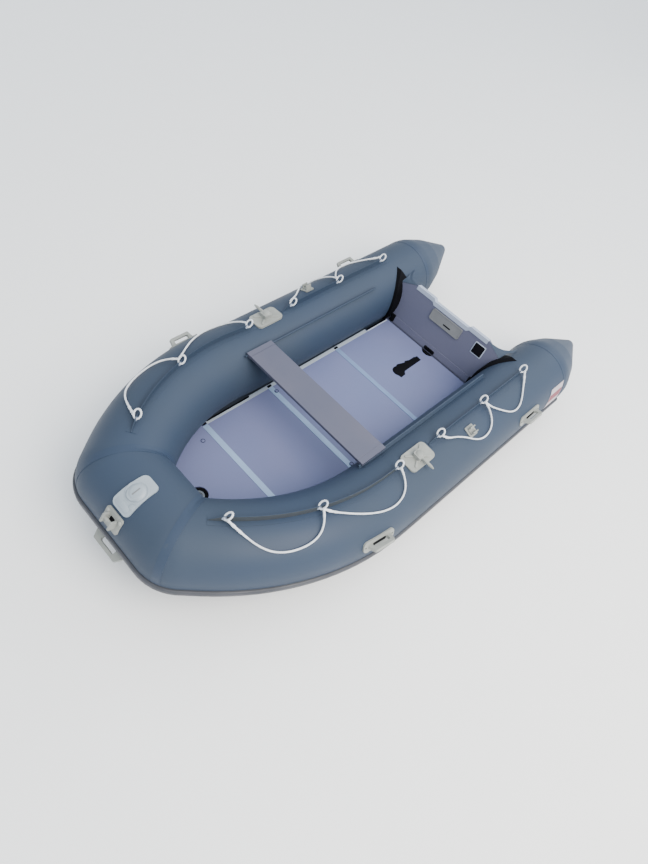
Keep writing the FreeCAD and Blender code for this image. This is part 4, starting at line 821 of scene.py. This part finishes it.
for side, word in ((1, "port"), (-1, "starboard")):
    moulded_plate("floor_edge_trim_" + word, on_floor(edge_middle, side * 0.3715), 0.200, 0.006,
                  0.003, 0.0015, bright_alloy, "aluminium_section", edge_round=0.0006)
    # A black strip outboard of the stringer paints the shade in the gap between it and the tube.
    moulded_plate("stringer_gap_painted_shade_" + word, on_floor(0.590, side * 0.3870, stringer_top), 0.310,
                  0.010, 0.002, 0.003, black_rubber, "black_moulding", edge_round=0.0006)
    # A black strip on the aft boards' edge paints the shade in the gap between the floor and the
    # tube.
    moulded_plate("floor_edge_gap_painted_shade_" + word, on_floor(edge_middle, side * 0.3835), 0.200, 0.013,
                  0.002, 0.003, black_rubber, "black_moulding", edge_round=0.0006)


# Keyhole: a black moulded plate let into the aft board, with a flared head that stands a
# little proud; and a black drain lip in the scallop at the foot of the transom.
dress(black_rubber, "keyhole_plate")


def black_plate(name, outline, low, high):
    """A flat, level plate of black rubber between two heights."""
    bm = bmesh.new()
    rim = [bm.verts.new((x, y, low)) for x, y in outline]
    base = bm.faces.new(rim)
    raised = bmesh.ops.extrude_face_region(bm, geom=[base])["geom"]
    bmesh.ops.translate(bm, vec=(0, 0, high - low), verts=only(bmesh.types.BMVert, raised))
    top = [edge for edge in bm.edges if all(vert.co.z > high - 1e-6 for vert in edge.verts)]
    bmesh.ops.bevel(bm, geom=top, offset=(high - low) * 0.4, segments=2, profile=0.5,
                    affect="EDGES", material=-1)
    piece_from(bm, name, black_rubber, "black_moulding")


keyhole_outline = [
    (-0.529, -0.044), (-0.465, -0.014), (-0.4625, 0.012), (-0.470, 0.051), (-0.512, 0.048),
    (-0.530, 0.027), (-0.700, 0.023), (-0.7035, -0.015), (-0.628, -0.022), (-0.598, -0.0345),
    (-0.586, -0.026)]
black_plate("keyhole_lip", keyhole_outline, board_top - 0.001, board_top + 0.0016)
board_end = -0.7915
lip_half = 0.046
lip_reach = 0.026
lip_outline = [(board_end - 0.004, lip_half * (1 - step / 5)) for step in range(11)]
lip_outline += [(board_end + lip_reach * math.sin(math.pi * step / 10), lip_half * (step / 5 - 1))
                for step in range(1, 10)]
black_plate("drain_lip", lip_outline, board_top - 0.010, board_top + 0.001)


# Keel valve: a black rubber boot on the bottom cloth with a grey screw valve in its middle.
bow_line = line_at(half_length)[0].x
valve_setback = 0.2956
valve_height = 0.101
valve_place = Matrix.Translation((bow_line - valve_setback, -0.028, valve_height))
round_moulding("keel_valve_boot", valve_place, [
    (0, 0.004), (0.034, 0.004), (0.036, 0.009), (0.044, 0.011), (0.0500, 0.008), (0.0517, 0.004),
    (0.0517, 0)], black_rubber, "black_moulding", "keel_valve")
round_moulding("keel_valve_cap", valve_place, [
    (0, 0.0105), (0.012, 0.0105), (0.014, 0.0085), (0.018, 0.0085), (0.020, 0.0118),
    (0.029, 0.0118), (0.032, 0.0095), (0.033, 0.004)], grey_plastic, "grey_moulding")
round_moulding("keel_valve_centre", valve_place, [(0, 0.0115), (0.010, 0.0115), (0.0118, 0.0105)],
               black_rubber, "black_moulding", steps=24)


# Transom: a painted plywood board, raked aft, with a pale moulded cap along its stepped top,
# clamp pads for the motor, a blank plate, and crescent holders that grip its edges.
transom_rake = math.radians(18.3)
transom_forward = Vector((math.cos(transom_rake), 0, math.sin(transom_rake)))
transom_up = Vector((-math.sin(transom_rake), 0, math.cos(transom_rake)))
transom_foot = -0.8095
transom_base = frame_at((transom_foot, 0, board_top), Vector((0, 1, 0)), transom_up,
                        transom_forward)


def on_transom(across, height, lift=0.0):
    """Frame on the transom's forward face: X to port, Y up the rake and Z forward."""
    return transom_base @ Matrix.Translation((across, height, lift))


transom_paint = finish("transom_paint", (0.092, 0.098, 0.158), (0.104, 0.108, 0.168),
                       patch_scale=3, grain_scale=500, contrast=0.10, roughness=0.5, bump=0.35)
dress(transom_paint, "transom_board", "transom_batten")
pale_moulding = finish("pale_moulding", (0.37, 0.42, 0.54), (0.32, 0.37, 0.48), patch_scale=9,
                       grain_scale=700, contrast=0.10, roughness=0.4)
dress(pale_moulding, "transom_cap")
pad_plastic = finish("pad_plastic", (0.190, 0.196, 0.205), (0.160, 0.166, 0.176), patch_scale=10,
                     grain_scale=700, contrast=0.12, roughness=0.4)
dress(pad_plastic, "motor_pad_inner", "motor_pad_outer")
dress(black_rubber, "transom_holder_port", "transom_holder_starboard", "drain_valve")


pad_face = 0.0075
pad_middle = 0.228
pad_length = 0.246
pad_width = 0.074
bead_width = 0.005
bead_lift = 0.002


def build_pad_bead():
    """A raised bead round the inner clamp pad."""
    bm = bmesh.new()
    bmesh.ops.create_grid(bm, x_segments=1, y_segments=1, size=0.5)
    bmesh.ops.scale(bm, vec=(pad_length, pad_width, 1), verts=bm.verts)
    bmesh.ops.bevel(bm, geom=bm.verts[:], offset=0.014, segments=5, profile=0.5,
                    affect="VERTICES", material=-1)
    rim = bmesh.ops.inset_region(bm, faces=bm.faces[:], thickness=bead_width,
                                 use_boundary=True)["faces"]
    core = [part for part in bm.faces if part not in rim]
    bmesh.ops.delete(bm, geom=core, context="FACES")
    raised = bmesh.ops.extrude_face_region(bm, geom=bm.faces[:])["geom"]
    bmesh.ops.translate(bm, vec=(0, 0, bead_lift), verts=only(bmesh.types.BMVert, raised))
    bmesh.ops.transform(bm, matrix=on_transom(0, pad_middle, pad_face), verts=bm.verts)
    piece_from(bm, "motor_pad_bead", pad_plastic, "grey_moulding")


build_pad_bead()
# A thin black plate paints the shade in the slot of the inner clamp pad.
moulded_plate("motor_pad_slot_painted_shade", on_transom(0.019, 0.2155, pad_face), 0.060, 0.009, 0.0012, 0.004,
              black_rubber, "black_moulding", edge_round=0.0004)
plate_across = 0.2775
plate_height = 0.2255
moulded_plate("transom_plate_frame", on_transom(plate_across, plate_height), 0.084, 0.084, 0.0022,
              0.006, pale_moulding, "white_moulding", edge_round=0.0008)
moulded_plate("transom_plate_face", on_transom(plate_across, plate_height, 0.0018), 0.073, 0.073,
              0.0012, 0.004, black_rubber, "black_moulding", edge_round=0.0004)
moulded_plate("transom_drain_lip", on_transom(0.0, 0.011, 0.0055), 0.088, 0.024, 0.003, 0.011,
              black_rubber, "black_moulding")
for side, word in ((1, "port"), (-1, "starboard")):
    moulded_plate("transom_end_block_" + word, on_transom(side * 0.350, 0.026, 0.0), 0.034, 0.050,
                  0.014, 0.006, black_rubber, "black_moulding", edge_round=0.002)


# Transom gussets: webs of the tubes' cloth, stretched from the board's sloping shoulders to
# the tubes behind it, each with a hollow free edge.
def build_gusset():
    bm = bmesh.new()
    bmesh.ops.create_grid(bm, x_segments=12, y_segments=12, size=0.5)
    for vert in bm.verts:
        down, aft = vert.co.x + 0.5, vert.co.y + 0.5
        edge = on_transom(0.3030 + 0.1220 * down, 0.3170 - 0.0528 * down, 0.0005).translation
        step = min(1.0, max(0.0, (down - 0.25) / 0.4))
        stand = 0.0012 + 0.0190 * step * step * (3 - 2 * step)
        skin = on_tube(-1.060 + 0.160 * down - stern, -41 - 6 * down, stand).translation
        hollow = Vector((0.82, 0.47, -0.33)) * 0.030 * math.sin(math.pi * aft) * (1 - down) ** 2
        vert.co = edge.lerp(skin, aft) + hollow
    return piece_from(bm, "transom_gusset_port", tube_cloth, "hull_fabric", sharp=80)


gusset_port = build_gusset()
add_skin(gusset_port, 0.0009)
gusset_starboard = twin_of(gusset_port, "transom_gusset_starboard", "hull_fabric")


# Seat: a painted board with moulded ends, which slides on bolt ropes along both tubes.
def softened(piece, width):
    """Rounds a moulding's sharp edges."""
    rounding = piece.modifiers.new("rounding", "BEVEL")
    rounding.width = width
    rounding.segments = 2
    rounding.limit_method = "ANGLE"
    rounding.angle_limit = math.radians(40)


seat_paint = finish("seat_paint", (0.074, 0.077, 0.118), (0.087, 0.087, 0.126), patch_scale=4,
                    grain_scale=500, contrast=0.12, roughness=0.45, bump=0.35)
for node in ("seat_board", "seat_cap_port", "seat_cap_starboard"):
    softened(copied(node + "_painted", node, seat_paint, "board", body="seat"), 0.0025)
for word in ("port", "starboard"):
    copied("seat_track_cloth_" + word, "seat_track_" + word, tube_cloth, "hull_fabric")


# Fins: doubled cloth that stands on a tape along the top of each tube and carries the eyelets.
# The outboard faces of the fore fins get a lighter, greyer colour: painted light on the side that
# faces the lamps.
fin_painted_light_cloth = finish("fin_painted_light_cloth", (0.040, 0.048, 0.056), (0.034, 0.040, 0.048),
                        patch_scale=6, grain_scale=900, contrast=0.14, roughness=0.5, bump=0.3)
for end in ("fore", "aft"):
    for word, side in (("port", 1), ("starboard", -1)):
        fin = copied("lifeline_fin_%s_%s" % (end, word), "lifeline_patch_%s_%s" % (end, word),
                     tube_cloth, "hull_fabric")
        if end == "fore":
            fin.data.materials.append(fin_painted_light_cloth)
            # Faces turned outboard take the lighter colour of painted light.
            for part in fin.data.polygons:
                if part.normal.y * side > 0.6 and abs(part.normal.z) < 0.35:
                    part.material_index = 1
dress(pale_moulding, "lifeline_eyelets")


# Fittings: soft moulded rubber in a warm pale grey, glued to the tubes.
fitting_rubber = finish("fitting_rubber", (0.290, 0.300, 0.280), (0.225, 0.235, 0.220),
                        patch_scale=14, grain_scale=600, contrast=0.12, roughness=0.5, bump=0.3)
pale_rubber = finish("pale_rubber", (0.315, 0.365, 0.410), (0.270, 0.315, 0.360),
                     patch_scale=14, grain_scale=600, contrast=0.12, roughness=0.4, bump=0.3)
for node, rounding in (
        ("rowlock_port", 0.003), ("rowlock_starboard", 0.003),
        ("oar_clip_port", 0.002), ("oar_clip_starboard", 0.002),
        ("handle_fore_port", 0.003), ("handle_fore_starboard", 0.003),
        ("handle_aft_port", 0.003), ("handle_aft_starboard", 0.003), ("bow_handle", 0.003),
        ("bow_pad", 0.003), ("towing_bracket", 0.0025)):
    rubber = pale_rubber if node == "bow_pad" else fitting_rubber
    softened(copied(node + "_moulding", node, rubber, "warm_grey_fitting"), rounding)

# Rowlocks: crossed ribs stiffen each plate, and a hub caps the block that holds the pin.
rowlock_place = on_tube(1.347, 4)
rowlock_face = 0.0075
block_top = 0.0358
dome = [(0, 0.0075), (0.008, 0.0072), (0.015, 0.0052), (0.020, 0.0018), (0.0215, 0)]
for number, degrees in enumerate((33, -33)):
    rib_place = (rowlock_place @ Matrix.Translation((0, 0, rowlock_face))
                 @ Matrix.Rotation(math.radians(degrees), 4, "Z"))
    rib = moulded_plate("rowlock_rib_%d_port" % (number + 1), rib_place, 0.150, 0.013, 0.006, 0.005,
                        fitting_rubber, "warm_grey_fitting", edge_round=0.0022)
    twin_of(rib, "rowlock_rib_%d_starboard" % (number + 1), "warm_grey_fitting")
hub = round_moulding("rowlock_hub_port", rowlock_place @ Matrix.Translation((0, 0, block_top)),
                     dome, fitting_rubber, "warm_grey_fitting")
twin_of(hub, "rowlock_hub_starboard", "warm_grey_fitting")

# Carry handles: under each grip a black plate paints the shade in the hollow, and two small black
# discs by its feet paint the shade in its holes.
handle_angle = 69.5
handle_face = 0.0055
handle_places = (
    ("handle_fore", on_tube(1.786, handle_angle), 0.090, 0.090),
    ("handle_aft", on_tube(0.429, handle_angle), 0.090, 0.090),
    ("bow_handle", on_tube(half_length, 118), 0.088, 0.1125))
for name, place, shade_plate_length, hole_reach in handle_places:
    # A black plate under the grip paints the shade in its hollow.
    marks = [moulded_plate(
        name + "_hollow_painted_shade", place @ Matrix.Translation((0, 0, handle_face)), shade_plate_length, 0.020,
        0.0010, 0.008, black_rubber, "black_moulding", edge_round=0.0003)]
    # Two small black discs paint the shade in the holes by the pad's feet.
    for sign, word in ((1, "front"), (-1, "back")):
        marks.append(round_moulding(
            "%s_hole_%s" % (name, word),
            place @ Matrix.Translation((sign * hole_reach, 0, handle_face)),
            [(0, 0.0010), (0.0038, 0.0010), (0.0045, 0.0002)], black_rubber, "black_moulding",
            steps=16))
    if name != "bow_handle":
        for mark in marks:
            twin_of(mark, mark.name + "_starboard", "black_moulding")

# Bow pad: a raised disc with a slot, a rib round it, a flat panel and a square button; a darker
# grey strip paints the shade in the slot.
bow_pad_angle = 25
pad_skin = 0.0093
disc_along = -0.012


def on_bow(across, along, lift=0.0):
    """Frame on the bow pad's face, across the boat and down over the bow from its middle."""
    degrees = bow_pad_angle + math.degrees(along / (tube_radius + pad_skin))
    return on_tube(half_length, degrees, pad_skin + lift) @ Matrix.Translation((across, 0, 0))


def over_bow(across, along, lift):
    """Bends a mesh over the pad, with its own origin at a place on the pad's face."""
    return lambda point: on_bow(across + point.x, along + point.y, lift + point.z).translation


disc_place = on_bow(0, disc_along)
round_moulding("bow_pad_disc", disc_place, [
    (0, 0.0095), (0.024, 0.0095), (0.030, 0.0085), (0.036, 0.0045), (0.041, 0),
    (0.041, -0.005)], pale_rubber, "warm_grey_fitting")
# Darker grey strip: painted shade in the disc's slot.
moulded_plate("bow_pad_slot_painted_shade", disc_place @ Matrix.Translation((0, 0, 0.0090)), 0.007, 0.044, 0.0012,
              0.0033, pad_plastic, "grey_moulding", edge_round=0.0004)
round_moulding("bow_pad_ring", over_bow(0, disc_along, -0.0006), [
    (0.046, 0), (0.0475, 0.0022), (0.0505, 0.0028), (0.0535, 0.0022), (0.055, 0)], pale_rubber,
    "warm_grey_fitting")
moulded_plate("bow_pad_panel", over_bow(0, 0.068, -0.0012), 0.080, 0.030, 0.0040, 0.008,
              pale_rubber, "warm_grey_fitting", edge_round=0.0015)
moulded_plate("bow_pad_button", over_bow(-0.040, 0.044, -0.0006), 0.022, 0.022, 0.0050, 0.005,
              pale_rubber, "warm_grey_fitting", edge_round=0.002)

# Towing bracket: two domed lobes on its plate, and a black plate between its cheeks that paints the
# shade in the recess there.
bracket_face = 0.0065
bracket_place = on_tube(half_length, 66, bracket_face)
# Black plate: painted shade in the recess between the cheeks.
moulded_plate("bracket_recess_painted_shade", bracket_place, 0.030, 0.036, 0.0012, 0.006, black_rubber,
              "black_moulding", edge_round=0.0004)
for sign, word in ((1, "port"), (-1, "starboard")):
    round_moulding("bracket_lobe_" + word,
                   bracket_place @ Matrix.Translation((-sign * 0.044, -0.024, 0)),
                   [(0, 0.0070), (0.006, 0.0066), (0.010, 0.0040), (0.0115, 0)], fitting_rubber,
                   "warm_grey_fitting", steps=24)


# Floor of the studio and its soft light: a bright sky that is stronger over the port quarter,
# and two softboxes, one abeam to port and one behind the stern.
bpy.ops.mesh.primitive_plane_add(size=40)
studio_floor = bpy.context.object
studio_floor.name = "studio_floor"
studio_floor.data.materials.append(
    finish("studio_paper", (0.98, 0.98, 0.98), (0.97, 0.97, 0.97), contrast=0.01, roughness=0.9))
world = bpy.data.worlds.new("studio")
scene.world = world
world.use_nodes = True
sky_nodes, sky_links = world.node_tree.nodes, world.node_tree.links
background = sky_nodes["Background"]
background.inputs["Color"].default_value = (0.86, 0.93, 1, 1)
direction = sky_nodes.new("ShaderNodeTexCoord")
bright_side = sky_nodes.new("ShaderNodeVectorMath")
bright_side.operation = "DOT_PRODUCT"
bright_side.inputs[1].default_value = (-0.35, 0.62, 0.70)
sky_strength = sky_nodes.new("ShaderNodeMapRange")
sky_strength.inputs["From Min"].default_value = -1
sky_strength.inputs["To Min"].default_value = 0.55
sky_strength.inputs["To Max"].default_value = 2.1
sky_links.new(direction.outputs["Generated"], bright_side.inputs[0])
sky_links.new(bright_side.outputs["Value"], sky_strength.inputs["Value"])
sky_links.new(sky_strength.outputs["Result"], background.inputs["Strength"])
for name, spot, width, power, tint in (
        ("abeam_softbox", (0.4, 4.4, 5.2), 4.5, 600, (1.0, 0.93, 0.82)),
        ("stern_softbox", (-6.0, 0.8, 5.0), 4.5, 120, (0.95, 0.98, 1.0))):
    lamp_data = bpy.data.lights.new(name, "AREA")
    lamp_data.size = width
    lamp_data.energy = power
    lamp_data.color = tint
    lamp = bpy.data.objects.new(name, lamp_data)
    scene.collection.objects.link(lamp)
    lamp.location = spot
    lamp.rotation_euler = (Vector((0, 0, 0.2)) - lamp.location).to_track_quat("-Z", "Y").to_euler()
